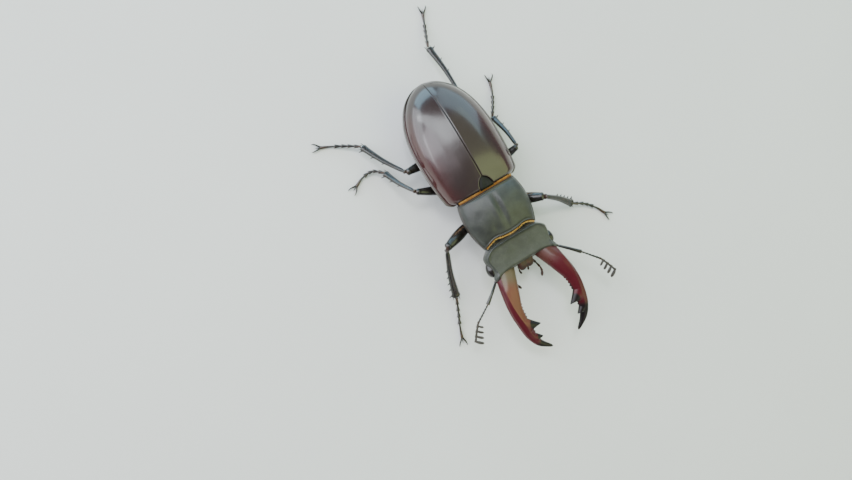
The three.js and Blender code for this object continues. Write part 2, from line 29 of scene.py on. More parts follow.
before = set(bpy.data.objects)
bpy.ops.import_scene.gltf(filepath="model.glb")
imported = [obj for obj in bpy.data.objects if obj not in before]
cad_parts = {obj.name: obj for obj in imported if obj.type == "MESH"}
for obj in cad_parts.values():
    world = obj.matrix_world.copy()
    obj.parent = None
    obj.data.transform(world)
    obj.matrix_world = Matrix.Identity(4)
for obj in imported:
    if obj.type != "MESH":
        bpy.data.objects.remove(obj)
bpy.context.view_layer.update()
print("frame loaded:", len(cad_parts), "solids")

bodyPlace = (0.436, -3.414)      # where the beetle's zero stands in the footprint, x and y
seed = np.random.default_rng(7)

# camera, floor and light

cameraSetting = {
    "place": (-0.038346, -0.002579, 0.159725),
    "right": (0.85319, -0.50316, 0.13748), "up": (0.50119, 0.86382, 0.05114),
    "view": (0.14449, -0.02528, -0.98918), "lens": 29.454, "sensor": 36, "clip": (0.005, 20),
}
ceilingHeight = 0.60
ceilingSetting = {
    # name: middle across and along the beetle, length, width, turn in degrees, brightness, colour.
    # Level panels over the back that show as the pale field on the right wing case
    "farStrip": (-0.53, 0.744, 1.64, 0.20, -44.0, 6.8, (0.89, 0.95, 1.0)),
    "nearStrip": (-0.615, 0.298, 0.87, 0.34, -5.1, 5.8, (0.93, 0.93, 1.0)),
    "nearEnd": (-0.045, 0.182, 0.27, 0.14, -5.1, 5.5, (0.93, 0.95, 1.0)),
    "nearGlow": (-0.68, 0.16, 1.30, 0.26, -5.1, 1.3, (1.0, 0.88, 0.95)),
    "seamEnd": (0.008, 0.200, 0.11, 0.12, -20.0, 20.0, (0.94, 0.97, 1.0)),
}
boxSetting = {
    # name: bearing from the tail in degrees (left is plus), height in degrees, distance,
    # size across and along, turn in degrees, brightness of its face, colour
    "sideBox": (-54, 16.5, 0.90, 0.86, 0.60, 0, 4.8, (0.88, 0.94, 1.0)),
    "oliveBox": (80, 55, 0.90, 0.70, 0.62, 0, 0.42, (0.85, 1.0, 0.52)),
    "leafBox": (132.0, 41.5, 0.80, 0.84, 0.96, 29.2, 2.1, (0.83, 1.0, 0.43)),
    "tailBox": (1, 13, 0.90, 0.82, 0.46, 0, 5.2, (0.48, 0.80, 1.0)),
    "leftTailBox": (53, 24, 0.90, 0.74, 0.76, 0, 2.7, (0.56, 0.84, 1.0)),
    "noseBox": (176, 30, 0.90, 0.50, 0.30, 0, 1.2, (1.0, 0.95, 0.90)),
}
skySetting = {"colour": (0.80, 0.87, 0.94), "strength": 0.34}


def makeCamera():
    # the camera looks along the line of sight, its picture kept upright by the two picture axes
    camera = bpy.data.objects.new("camera", bpy.data.cameras.new("camera"))
    right, up, view = (Vector(cameraSetting[key]) for key in ("right", "up", "view"))
    turn = Matrix((right, up, -view)).transposed().to_4x4()
    camera.matrix_world = Matrix.Translation(cameraSetting["place"]) @ turn
    camera.data.sensor_width = cameraSetting["sensor"]
    camera.data.lens = cameraSetting["lens"]
    camera.data.clip_start, camera.data.clip_end = cameraSetting["clip"]
    bpy.context.scene.collection.objects.link(camera)
    bpy.context.scene.camera = camera


def makeLamp(name, across, along, bright, colour, place, facing, turn):
    # a flat rectangle, turned in its own plane; its watts are the brightness of its face times
    # its area times pi
    lamp = bpy.data.lights.new(name, "AREA")
    lamp.shape, lamp.size, lamp.size_y = "RECTANGLE", across, along
    lamp.energy, lamp.color = bright * across * along * math.pi, colour
    box = bpy.data.objects.new(name, lamp)
    facing = facing.to_track_quat("Z", "Y").to_matrix().to_4x4()
    box.matrix_world = Matrix.Translation(place) @ facing @ Matrix.Rotation(math.radians(turn), 4, "Z")
    bpy.context.scene.collection.objects.link(box)


def makeLights():
    # the panels hang level and shine straight down; the boxes stand on a sphere round the beetle,
    # each turned to face it
    for name, (x, y, length, width, turn, bright, colour) in ceilingSetting.items():
        makeLamp(name, length, width, bright, colour, (x, y, ceilingHeight), Vector((0, 0, 1)), turn)
    for name, (bearing, height, far, across, along, turn, bright, colour) in boxSetting.items():
        b, h = math.radians(bearing), math.radians(height)
        away = Vector((math.sin(b) * math.cos(h), math.cos(b) * math.cos(h), math.sin(h)))
        makeLamp(name, across, along, bright, colour, away * far, away, turn)
    world = bpy.data.worlds.new("studio")
    world.use_nodes = True
    sky = world.node_tree.nodes["Background"]
    sky.inputs["Color"].default_value = (*skySetting["colour"], 1)
    sky.inputs["Strength"].default_value = skySetting["strength"]
    bpy.context.scene.world = world


makeCamera()
makeLights()
print("camera and lights placed")

# shader maths


class Value:
    # one shader value: an expression on values adds the Math nodes it needs
    def __init__(self, finish, socket):
        self.finish, self.socket = finish, socket

    def math(self, operation, *others):
        # a Math node whose inputs are this value and the others
        return self.finish.node("ShaderNodeMath", {"operation": operation},
                                dict(enumerate((self,) + others)))

    def __add__(self, other):
        return self.math("ADD", other)

    def __sub__(self, other):
        return self.math("SUBTRACT", other)

    def __rsub__(self, other):
        return self.math("MULTIPLY_ADD", -1.0, other)

    def __mul__(self, other):
        return self.math("MULTIPLY", other)

    def size(self):
        return self.math("ABSOLUTE")

    def most(self, other):
        return self.math("MAXIMUM", other)

    __radd__, __rmul__ = __add__, __mul__


shaderSockets = {
    "colour": "Base Color", "roughness": "Roughness", "specular": "Specular IOR Level", "normal": "Normal",
    "coat": "Coat Weight", "coatRoughness": "Coat Roughness", "sheen": "Sheen Weight",
    "sheenRoughness": "Sheen Roughness",
}


class Finish:
    # a material and its one Principled shader
    def __init__(self, name):
        self.material = bpy.data.materials.new(name)
        self.material.use_nodes = True
        self.tree = self.material.node_tree
        self.shader = self.tree.nodes["Principled BSDF"]
        self.place = self.node("ShaderNodeTexCoord", out=3)    # the point on the piece, in metres

    def node(self, kind, settings=None, values=None, out=0):
        # the settings come first, because they decide which sockets a node has
        made = self.tree.nodes.new(kind)
        for key, value in (settings or {}).items():
            setattr(made, key, value)
        for key, value in (values or {}).items():
            if isinstance(value, Value):
                self.tree.links.new(value.socket, made.inputs[key])
            else:
                made.inputs[key].default_value = value
        return Value(self, made.outputs[out])

    def axis(self, name):
        # one coordinate of the place
        return self.node("ShaderNodeSeparateXYZ", None, {0: self.place}, "XYZ".index(name))

    def trait(self, name):
        # a number that the mesh carries at each point
        return self.node("ShaderNodeAttribute", {"attribute_name": name}, out=2)

    def noise(self, grain, detail=3.0, rough=0.5, place=None):
        # grain is the size of one cloud in millimetres
        return self.node("ShaderNodeTexNoise", None, {
            "Vector": place or self.place, "Scale": 1000 / grain, "Detail": detail, "Roughness": rough})

    def pits(self, grain, reach):
        # 1 in the middle of a pit, 0 outside; grain is the step between pits in millimetres
        far = self.node("ShaderNodeTexVoronoi", None, {"Vector": self.place, "Scale": 1000 / grain})
        return self.rise(far, reach, 0.05)

    def stretched(self, x, y, z):
        # the place with each axis scaled, so that a pattern runs long on one of them
        return self.node("ShaderNodeVectorMath", {"operation": "MULTIPLY"}, {0: self.place, 1: (x, y, z)})

    def rise(self, value, low, high):
        # a smooth step from 0 at low to 1 at high
        return self.node("ShaderNodeMapRange", {"interpolation_type": "SMOOTHSTEP"},
                         {"Value": value, "From Min": low, "From Max": high})

    def blend(self, share, first, second):
        # first where share is 0, second where it is 1
        colours = {key: (*c, 1) if isinstance(c, tuple) else c for key, c in ((6, first), (7, second))}
        return self.node("ShaderNodeMix", {"data_type": "RGBA"}, {0: share, **colours}, out=2)

    def feed(self, **sockets):
        # a value is linked, a number is set on the shader itself
        for key, value in sockets.items():
            socket = self.shader.inputs[shaderSockets[key]]
            if isinstance(value, Value):
                self.tree.links.new(value.socket, socket)
            else:
                socket.default_value = value
        return self.material

    def relief(self, height, depth, below=None):
        # a bump whose full height is depth millimetres
        values = {"Height": height, "Distance": depth / 1000, "Strength": 1.0}
        if below:
            values["Normal"] = below
        return self.node("ShaderNodeBump", None, values)


plainColour = {
    # finish: the two colours it is mixed from
    "floor": ((0.60, 0.595, 0.58), (0.66, 0.655, 0.64)),
    "eye": ((0.004, 0.003, 0.003), (0.016, 0.010, 0.008)),
    "under": ((0.014, 0.009, 0.007), (0.060, 0.034, 0.022)),
    "club": ((0.016, 0.013, 0.011), (0.060, 0.048, 0.038)),
    "mouth": ((0.012, 0.005, 0.004), (0.050, 0.014, 0.008)),
}


def floorFinish():
    # pale matt paper, with a trace of unevenness
    f = Finish("paleFloor")
    cloud = f.noise(60, 4)
    return f.feed(colour=f.blend(cloud, *plainColour["floor"]), roughness=0.62 + cloud * 0.1,
                  specular=0.25, normal=f.relief(f.noise(0.8, 2), 0.02))


# edge is the pale grey painted on the rim bead, a painted reflection
wingColour = {"deep": (0.020, 0.011, 0.010), "warm": (0.048, 0.011, 0.011), "edge": (0.085, 0.080, 0.066)}


def wingFinish():
    # satin dark chestnut, redder towards the side, with the finest pricks and faint scratches; the rim bead
    # is painted pale grey, a painted reflection
    f = Finish("wingCaseChestnut")
    side = f.rise((f.axis("X") - bodyPlace[0] / 1000).size() * 1000, 3.5, 10.5)
    cloud, rim = f.noise(4.5, 4, 0.55), f.trait("rim")
    tone = f.blend(f.rise(side * 0.75 + cloud * 0.5, 0.25, 1.05), wingColour["deep"], wingColour["warm"])
    # painted reflection: the rim bead painted pale grey
    tone = f.blend(rim * 0.8, tone, wingColour["edge"])
    pricks = f.pits(0.17, 0.32)
    scratch = f.rise(f.noise(0.5, 2, 0.6, f.stretched(1, 0.12, 1)), 0.66, 0.78)
    ground = f.relief(f.noise(1.9, 2), 0.012)
    skin = f.relief(1 - pricks * 0.7 - scratch * 0.4 + f.noise(0.05, 2) * 0.3, 0.0035, ground)
    rough = 0.18 + cloud * 0.07 + pricks * 0.05 - rim * 0.06
    return f.feed(colour=tone, roughness=rough, coat=0.45, coatRoughness=0.11, specular=0.55, normal=skin)


shieldColour = {"deep": (0.015, 0.016, 0.014), "dust": (0.032, 0.034, 0.028), "edge": (0.022, 0.016, 0.011)}


def shieldFinish(name, shade=1.0):
    # black with an olive cast, closely pricked, dustier in cloudy patches; shade darkens it all
    f = Finish(name)
    cloud, pricks = f.noise(2.6, 5, 0.6), f.pits(0.15, 0.48)
    deep, dust, edge = (tuple(shade * c for c in shieldColour[key]) for key in ("deep", "dust", "edge"))
    tone = f.blend(f.rise(cloud, 0.3, 0.75), deep, dust)
    tone = f.blend(f.trait("rim") * 0.8, tone, edge)
    skin = f.relief(1 - pricks + f.noise(0.09, 3) * 0.5, 0.009, f.relief(f.noise(1.3, 3), 0.030))
    return f.feed(colour=tone, roughness=0.38 + cloud * 0.16, coat=0.10 * shade, coatRoughness=0.32,
                  specular=0.47 * shade, normal=skin)


# ridge is the glossy black of the ridges, also blended in behind the crest as painted shade
headColour = {"deep": (0.030, 0.032, 0.025), "dust": (0.060, 0.063, 0.050), "ridge": (0.008, 0.010, 0.010)}


def headFinish():
    # dull olive black, grained like fine leather, glossier on the ridges and behind them; the slope behind
    # the crest is painted darker as painted shade
    f = Finish("headGrain")
    cloud, grain = f.noise(2.2, 5, 0.62), f.pits(0.15, 0.5)
    ridge, neck = f.trait("ridge") * 0.9, f.trait("neck")
    tone = f.blend(f.rise(cloud + grain * 0.2, 0.25, 0.95), headColour["deep"], headColour["dust"])
    # painted shade: the neck's slope behind the crest darkened towards the ridge colour
    tone = f.blend(ridge.most(neck * 0.6), tone, headColour["ridge"])
    skin = f.relief(grain + f.noise(0.10, 3) * 0.6, 0.020, f.relief(f.noise(0.9, 3), 0.035))
    shine = ridge.most(neck)
    return f.feed(colour=tone, roughness=0.56 - shine * 0.36 + cloud * 0.10, coat=0.03 + shine * 0.5,
                  coatRoughness=0.16, specular=0.45, normal=skin)


# the top face's orange is painted light and the root's olive grey a painted sheen; the red and the black of
# teeth and tips are the jaw's own
jawColour = {"paintedLitTop": (0.118, 0.042, 0.025), "red": (0.060, 0.006, 0.010), "dark": (0.007, 0.005, 0.005),
             "dust": (0.090, 0.080, 0.045)}


def jawFinish():
    # polished chestnut, blood red at the side, black on teeth and tips; painted light makes the right jaw's
    # top face orange, a painted sheen makes the root olive grey, and painted shade blackens more of the left
    # jaw's end
    f = Finish("jawChestnut")
    cloud, pricks = f.noise(1.6, 4, 0.55), f.pits(0.19, 0.3)
    streak = f.noise(0.7, 3, 0.6, f.stretched(1, 0.25, 1))
    # painted light: the top face, marked by the trait top, lightened to orange
    paintedLitTop = f.rise(f.trait("top") + (cloud - 0.5) * 0.5, 0.25, 0.85)
    dark = f.rise(f.trait("dark") + (streak - 0.5) * 0.35, 0.30, 0.75)
    tone = f.blend(paintedLitTop, jawColour["red"], jawColour["paintedLitTop"])
    # the olive grey at the root is a painted sheen
    tone = f.blend(dark, f.blend(f.trait("dust"), tone, jawColour["dust"]), jawColour["dark"])
    skin = f.relief(1 - pricks * 0.8 + f.noise(0.08, 2) * 0.3, 0.009, f.relief(f.noise(1.1, 3), 0.03))
    return f.feed(colour=tone, roughness=0.24 + cloud * 0.10 + pricks * 0.08, coat=0.14, coatRoughness=0.08,
                  specular=0.18, normal=skin)


legColour = {"deep": (0.008, 0.007, 0.006), "brown": (0.036, 0.017, 0.010)}


def legFinish(name, lift=0.0):
    # glossy black brown, warmer towards the joints; lift makes all of it browner
    f = Finish(name)
    ends = f.rise((f.trait("share") * 2 - 1).size(), 0.65, 1.0)
    cloud, pricks = f.noise(1.1, 4, 0.6), f.pits(0.22, 0.3)
    brown = f.rise(ends * 0.6 + cloud * 0.6 + lift, 0.35, 1.05)
    skin = f.relief(1 - pricks * 0.9 + f.noise(0.07, 2) * 0.4, 0.006, f.relief(f.noise(0.6, 3), 0.014))
    return f.feed(colour=f.blend(brown, legColour["deep"], legColour["brown"]), coat=0.40, coatRoughness=0.10,
                  roughness=0.20 + cloud * 0.10 + pricks * 0.1, specular=0.4, normal=skin)


def eyeFinish():
    # near black, finely faceted and wet
    f = Finish("eyeBlack")
    facet = f.pits(0.06, 0.8)
    return f.feed(colour=f.blend(facet, *plainColour["eye"]), roughness=0.16 + facet * 0.08, coat=0.35,
                  coatRoughness=0.05, specular=0.35, normal=f.relief(facet, 0.002))


def underFinish():
    # brown black with dusty, hair-pitted plates
    f = Finish("underside")
    cloud, pricks = f.noise(1.7, 5, 0.6), f.pits(0.26, 0.36)
    tone = f.blend(f.rise(cloud, 0.3, 0.8), *plainColour["under"])
    skin = f.relief(1 - pricks + f.noise(0.09, 3) * 0.5, 0.020, f.relief(f.noise(0.8, 3), 0.04))
    return f.feed(colour=tone, roughness=0.36 + cloud * 0.18, coat=0.15, coatRoughness=0.3, specular=0.5,
                  normal=skin)


def clubFinish():
    # dull grey brown, felted with the finest down
    f = Finish("clubDown")
    cloud = f.noise(0.25, 4, 0.7)
    return f.feed(colour=f.blend(cloud, *plainColour["club"]), roughness=0.66 + cloud * 0.14, sheen=0.35,
                  sheenRoughness=0.45, specular=0.35, normal=f.relief(cloud, 0.02))


def mouthFinish():
    # dark red brown, half glossy
    f = Finish("mouthAmber")
    cloud = f.noise(0.8, 4, 0.6)
    tone = f.blend(f.rise(cloud, 0.3, 0.75), *plainColour["mouth"])
    return f.feed(colour=tone, roughness=0.34 + cloud * 0.12, coat=0.12, coatRoughness=0.2, specular=0.35,
                  normal=f.relief(f.noise(0.12, 3), 0.015, f.relief(cloud, 0.03)))


hairColour = {
    # root, tip
    "gold": ((0.48, 0.20, 0.030), (0.95, 0.62, 0.17)),
    "brown": ((0.045, 0.022, 0.010), (0.26, 0.13, 0.05)),
}


def hairFinish(name, root, tip):
    # each hair darkens towards its root, and no two lots have quite the same tone
    f = Finish(name)
    lot = f.noise(0.35, 2)
    tone = f.blend(f.rise(f.trait("share") + (lot - 0.5) * 0.9, 0.05, 0.8), root, tip)
    return f.feed(colour=tone, roughness=0.38 + lot * 0.12, specular=0.5, sheen=0.1,
                  normal=f.relief(f.noise(0.05, 1), 0.004))


finishes = {
    "floor": floorFinish(), "wing": wingFinish(), "shield": shieldFinish("pronotumBlack"),
    "scutellum": shieldFinish("scutellumBlack", 0.35), "head": headFinish(), "jaw": jawFinish(),
    "leg": legFinish("legBlack"), "foot": legFinish("footBrown", 0.22),
    "feeler": legFinish("feelerBrown", 0.12), "eye": eyeFinish(), "under": underFinish(),
    "club": clubFinish(), "mouth": mouthFinish(),
    "gold": hairFinish("hairGold", *hairColour["gold"]),
    "brown": hairFinish("hairBrown", *hairColour["brown"]),
}
print("finishes made:", len(finishes))

# shape tools


bothSides = ((1, "left"), (-1, "right"))


def mix(a, b, t):
    # a where t is 0, b where it is 1
    return a + (b - a) * t


def clamp(x, low=0.0, high=1.0):
    # x, kept between low and high
    return np.clip(x, low, high)


def hump(x, centre, width):
    # 1 at the centre, a bell beside it
    return np.exp(-((x - centre) / width) ** 2)


def signedPower(x, p):
    # the power of the size of x, with the sign of x
    return np.sign(x) * np.abs(x) ** p


def ease(t):
    # a smooth step from 0 to 1
    return clamp(t) ** 2 * (3 - 2 * clamp(t))


def rounded(t, start, length, share=1.0):
    # 1 up to start, then a quarter circle down over the length; share is how much of it is used
    return np.sqrt(clamp(1 - share * clamp((t - start) / length) ** 2))


def bunched(n):
    # n places from 0 to 1, close together at both ends
    return (1 - np.cos(np.pi * np.linspace(0, 1, n))) / 2


def around(n):
    # n even steps round a circle
    return np.linspace(0, 2 * np.pi, n, endpoint=False)


def unit(v):
    # the same direction with length 1
    return v / np.maximum(np.linalg.norm(v, axis=-1, keepdims=True), 1e-9)


def stack(*parts):
    # x, y and z brought to one shape and put together
    return np.stack(np.broadcast_arrays(*parts), -1)


def domeEnds(t, end=0.08):
    # a quarter circle over the first and the last share of a length, 1 between
    return np.sqrt(clamp(1 - (1 - clamp(t / end)) ** 2)) * np.sqrt(clamp(1 - (1 - clamp((1 - t) / end)) ** 2))


def readList(values, t):
    # straight lines between values that stand at even shares
    return np.interp(t, np.linspace(0, 1, len(values)), values)


def bentLine(line, t):
    # the cubic through the points that leaves each one along half the step from the point
    # before it to the point after it, and the direction of travel
    line = np.asarray(line, float)
    line = np.vstack([2 * line[0] - line[1], line, 2 * line[-1] - line[-2]])
    at = clamp(t) * (len(line) - 3)
    i = np.minimum(at.astype(int), len(line) - 4)
    w = (at - i)[:, None]
    before, a, b, after = line[i], line[i + 1], line[i + 2], line[i + 3]
    leave, arrive = (b - before) / 2, (after - a) / 2
    square, cube = 3 * (b - a) - 2 * leave - arrive, 2 * (a - b) + leave + arrive
    return a + leave * w + square * w ** 2 + cube * w ** 3, unit(leave + 2 * square * w + 3 * cube * w ** 2)


def carry(line, t, sideways, upward, forward=0.0):
    # a section carried along a bent line: sideways is level and across it, upward stands on both
    centre, along = bentLine(line, t)
    across = unit(np.cross(along, [0, 0, 1.0]))
    up = np.cross(across, along)
    sideways, upward, forward = np.broadcast_arrays(sideways, upward, forward)
    return (centre[:, None] + across[:, None] * sideways[..., None] + up[:, None] * upward[..., None]
            + along[:, None] * forward[..., None])


def shell(rings, **traits):
    # a closed skin: four-sided faces between neighbouring rings and a fan over each end. One sixth
    # of the sum of a . (b x c) over its triangles is its volume, whose sign says if it is inside out
    rows, cols = rings.shape[:2]
    points = np.concatenate([rings.reshape(-1, 3), rings[:1].mean(1), rings[-1:].mean(1)])
    i, k = np.meshgrid(np.arange(rows - 1) * cols, np.arange(cols), indexing="ij")
    after = (k + 1) % cols
    quads = np.stack([i + k, i + after, i + after + cols, i + k + cols], -1).reshape(-1, 4)
    k, after, last = np.arange(cols), (np.arange(cols) + 1) % cols, (rows - 1) * cols
    fans = np.concatenate([np.stack([after, k, k * 0 + rows * cols], 1),
                           np.stack([last + k, last + after, k * 0 + rows * cols + 1], 1)])
    three = np.concatenate([quads[:, [0, 1, 2]], quads[:, [0, 2, 3]], fans])
    a, b, c = (points[three[:, j]] - points.mean(0) for j in range(3))
    if (a * np.cross(b, c)).sum() < 0:
        quads, fans = quads[:, ::-1], fans[:, ::-1]
    marks = {"share": np.broadcast_to(np.linspace(0, 1, rows)[:, None], (rows, cols)), **traits}
    marks = {key: np.broadcast_to(v, (rows, cols)) for key, v in marks.items()}
    marks = {key: np.concatenate([v.ravel(), [v[0].mean(), v[-1].mean()]]) for key, v in marks.items()}
    return points, quads, fans, marks


def limb(line, wide, deep, rows=40, sides=24, t=None, **traits):
    # an oval section, wide(t) across and deep(t) upward, carried along a line
    t = bunched(rows) if t is None else t
    angle = around(sides)
    wide, deep = wide(t)[:, None] + 0.004, deep(t)[:, None] + 0.004
    return shell(carry(line, t, np.cos(angle) * wide, np.sin(angle) * deep), **traits)


def thorn(root, tip, width, bend=(0, 0, 0), rows=12, sides=12, blunt=0.06):
    # a cone that leans by bend in its middle, with a small round point
    root, tip = np.asarray(root, float), np.asarray(tip, float)
    radius = lambda t: mix(width, blunt, t ** 0.85) * rounded(t, 0.94, 0.06)
    return limb([root, (root + tip) / 2 + np.asarray(bend, float), tip], radius, radius,
                t=np.concatenate([np.linspace(0, 0.9, rows), [0.94, 0.96, 0.98, 0.99, 1.0]]), sides=sides)


def toRow(points):
    # beetle millimetres to metres in the footprint's frame
    return (points + [bodyPlace[0], bodyPlace[1], 0]) * 0.001


def makePiece(name, shells, finish, nodes=(), patches=None):
    # joins the shells into one mesh, with their traits, and hides the solids of the frame that it stands for
    starts = np.cumsum([0] + [len(s[0]) for s in shells])
    points = toRow(np.concatenate([s[0] for s in shells]))
    quads = np.concatenate([s[1] + n for s, n in zip(shells, starts)])
    fans = np.concatenate([s[2] + n for s, n in zip(shells, starts)])
    mesh = bpy.data.meshes.new(name)
    mesh.vertices.add(len(points))
    mesh.vertices.foreach_set("co", points.astype(np.float32).ravel())
    loops = np.concatenate([quads.ravel(), fans.ravel()]).astype(np.int32)
    total = np.concatenate([np.full(len(quads), 4), np.full(len(fans), 3)]).astype(np.int32)
    mesh.loops.add(len(loops))
    mesh.loops.foreach_set("vertex_index", loops)
    mesh.polygons.add(len(total))
    mesh.polygons.foreach_set("loop_start", np.concatenate([[0], np.cumsum(total)[:-1]]).astype(np.int32))
    mesh.polygons.foreach_set("loop_total", total)
    mesh.polygons.foreach_set("use_smooth", np.ones(len(total), bool))
    for key in {key for s in shells for key in s[3]}:
        values = np.concatenate([s[3].get(key, np.zeros(len(s[0]))) for s in shells])
        mesh.attributes.new(key, "FLOAT", "POINT").data.foreach_set("value", values.astype(np.float32))
    if patches is not None:
        mesh.uv_layers.new(name="OFBake").data.foreach_set("uv", patches[loops].astype(np.float32).ravel())
    mesh.update(calc_edges=True)
    mesh.materials.append(finishes[finish])
    piece = bpy.data.objects.new(name, mesh)
    bpy.context.scene.collection.objects.link(piece)
    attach(piece, "root")
    if nodes:
        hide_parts(*nodes)
    return piece


def makeHairs(name, roots, aims, lengths, thick, droop, finish, unwrap):
    # three-sided tapered hairs, each a curve that leaves along its aim and bends by droop with the
    # square of its length; unwrap is each root's place on the skin laid flat, from 0 to 1
    n, shares = len(roots), np.array([0.0, 0.4, 0.75])
    aims = unit(aims)
    across = unit(np.cross(aims, [0.13, 0.21, 1.0]))
    up = np.cross(across, aims)
    middle = (roots[:, None] + aims[:, None] * (lengths[:, None] * shares)[..., None]
              + droop[:, None] * (lengths[:, None] * shares ** 2)[..., None])
    turn = np.array([0, 2, 4]) * np.pi / 3
    away = across[:, None] * np.cos(turn)[:, None] + up[:, None] * np.sin(turn)[:, None]
    radius = np.broadcast_to(thick, (n,))[:, None] * (1 - 0.75 * shares)
    rings = middle[:, :, None] + away[:, None] * radius[..., None, None]
    tips = roots + aims * lengths[:, None] + droop * lengths[:, None]
    points = np.concatenate([rings.reshape(n, 9, 3), tips[:, None]], 1).reshape(-1, 3)
    base = np.arange(n)[:, None, None] * 10
    quad = np.array([[r * 3 + k, r * 3 + (k + 1) % 3, r * 3 + 3 + (k + 1) % 3, r * 3 + 3 + k]
                     for r in range(2) for k in range(3)])
    fan = np.array([[2, 1, 0], [6, 7, 9], [7, 8, 9], [8, 6, 9]])
    share = np.tile(np.concatenate([np.repeat(shares, 3), [1.0]]), n)
    inPatch = np.array([[k / 3, s] for s in shares for k in range(3)] + [[0.5, 1.0]]) * 0.003
    patches = (unwrap[:, None] + inPatch).reshape(-1, 2)
    one = (points, (base + quad).reshape(-1, 4), (base + fan).reshape(-1, 3), {"share": share})
    return makePiece(name, [one], finish, patches=patches)


# wing cases

wingCase = {
    "base": 0.15, "apex": 27.6, "widest": 11.0, "halfWidth": 10.0, "shoulderLoss": 0.11, "roundness": 2.35,
    "crestAt": 9.0, "crest": 14.4, "baseDrop": 0.9, "edgeAtBase": 9.3, "edgeFall": 0.092,
    "rim": 0.60, "bead": 0.22, "thickness": 0.55, "seam": 0.02, "seamGroove": 0.05, "gutter": 0.08,
    "callus": 0.14, "dip": 0.05, "lip": 0.85, "roof": 0.055, "tipGap": 0.16,
}
scutellum = {"half": 1.75, "length": 2.7, "base": 0.12, "thickness": 0.5, "lift": 0.02}


def scutellumHalf(y):
    # it narrows by a power of its length to a blunt point
    share = clamp((y - scutellum["base"]) / scutellum["length"])
    return scutellum["half"] * np.sqrt(clamp(1 - share ** 2.2)) * mix(1, 0.82, share)


def tailShare(y):
    # 0 up to the widest place, 1 at the tip
    return clamp((y - wingCase["widest"]) / (wingCase["apex"] - wingCase["widest"]))


def wingEdge(y):
    # the height of the lower edge, which falls evenly to the tail
    return wingCase["edgeAtBase"] - wingCase["edgeFall"] * y


def wingHalf(y):
    # a long oval behind the widest place, and a slow loss with a rounded corner before it
    w = wingCase
    corner = 1.15 * clamp(1 - (y - w["base"]) / 1.5) ** 2.6
    fore = w["halfWidth"] * (1 - w["shoulderLoss"] * clamp((w["widest"] - y) / w["widest"]) ** 2.2) - corner
    hind = w["halfWidth"] * np.sqrt(clamp(1 - tailShare(y) ** w["roundness"]))
    return np.where(y > w["widest"], hind, fore)


def seamHeight(y):
    # a shallow parabola up to the crest, and a long oval down to the tip
    w, low = wingCase, wingEdge(wingCase["apex"])
    fall = clamp((y - w["crestAt"]) / (w["apex"] - w["crestAt"]))
    return np.where(y < w["crestAt"], w["crest"] - w["baseDrop"] * ((w["crestAt"] - y) / w["crestAt"]) ** 2,
                    low + (w["crest"] - low) * np.sqrt(1 - fall ** 2.4))


def wingRings(sign, rows=170, cols=96):
    # over the back as a flattened quarter oval with a fine seam, a swollen shoulder and a rolled
    # front lip, then a gutter and a round bead along the edge, and back underneath
    w = wingCase
    y = mix(w["base"], w["apex"], np.sin(np.pi / 2 * np.linspace(0, 0.9985, rows)))[:, None]
    y = np.sort(np.concatenate([y[:, 0], w["base"] + np.array([0.03, 0.07, 0.12, 0.18, 0.25])]))[:, None]
    half, edge = wingHalf(y), wingEdge(y)
    scale, rise = clamp(half / 3), seamHeight(y) - edge
    s = np.concatenate([np.linspace(0, 0.04, 10), np.linspace(0.05, 1, cols - 10)])
    out = np.sin(np.pi / 2 * 0.97 * (0.55 * s + 0.45 * s ** 2)) ** 0.92
    seamX = w["seam"] + w["tipGap"] * ease((y - w["apex"] + 1.1) / 1.1) ** 2 * clamp(half / 2)
    seamX = np.maximum(seamX, scutellumHalf(y) + 0.07)    # the inner edge opens round the small shield
    reach = half - w["rim"] * scale
    x = seamX + (reach - seamX) * out
    level = 1 - clamp(x / (reach + 0.001)) ** 2.17
    detail = -w["seamGroove"] * hump(x, seamX, 0.07) + 0.3 * w["seamGroove"] * hump(x - seamX, 0.22, 0.10)
    detail = detail + w["callus"] * hump(x / (half + 0.01), 0.72, 0.20) * hump(y, 3.0, 2.6)
    detail = detail - w["dip"] * hump(x, 2.2, 1.3) * hump(y, 1.9, 1.5)
    detail = detail - w["roof"] * (x - seamX) * hump(x - seamX, 0, 3.2) * ease(half / 4)
    z = edge + rise * level ** 0.475
    detail = detail - w["gutter"] * hump(z - edge, 0.30, 0.32) * scale
    z = z + detail * clamp(half / 1.5) - w["lip"] * clamp(1 - (y - w["base"]) / 0.85) ** 2.6 * level ** 0.25
    turn = np.radians(np.linspace(195, -62, 14))
    beadX = half - w["bead"] * scale * (1 - np.cos(turn))
    beadZ = edge + w["bead"] * scale * (0.15 + np.sin(turn))
    inner = np.array([0.0, 0.35, 0.7, 1.0])
    floor = np.broadcast_to(edge - w["thickness"] * scale, (len(y), 4))
    underX = np.concatenate([half - 0.06 * scale, mix(half - 0.30 * scale, seamX, inner)], 1)
    underZ = np.concatenate([edge - 0.42 * scale, floor], 1)
    x, z = np.concatenate([x, beadX, underX], 1), np.concatenate([z, beadZ, underZ], 1)
    rim = np.concatenate([np.zeros(cols), np.ones(14), np.zeros(5)])
    return shell(stack(sign * np.maximum(x, w["seam"]), y, z), rim=rim)


for sign, word in bothSides:
    makePiece(f"wing_case_{word}", [wingRings(sign)], "wing", [f"elytron_{word}"])


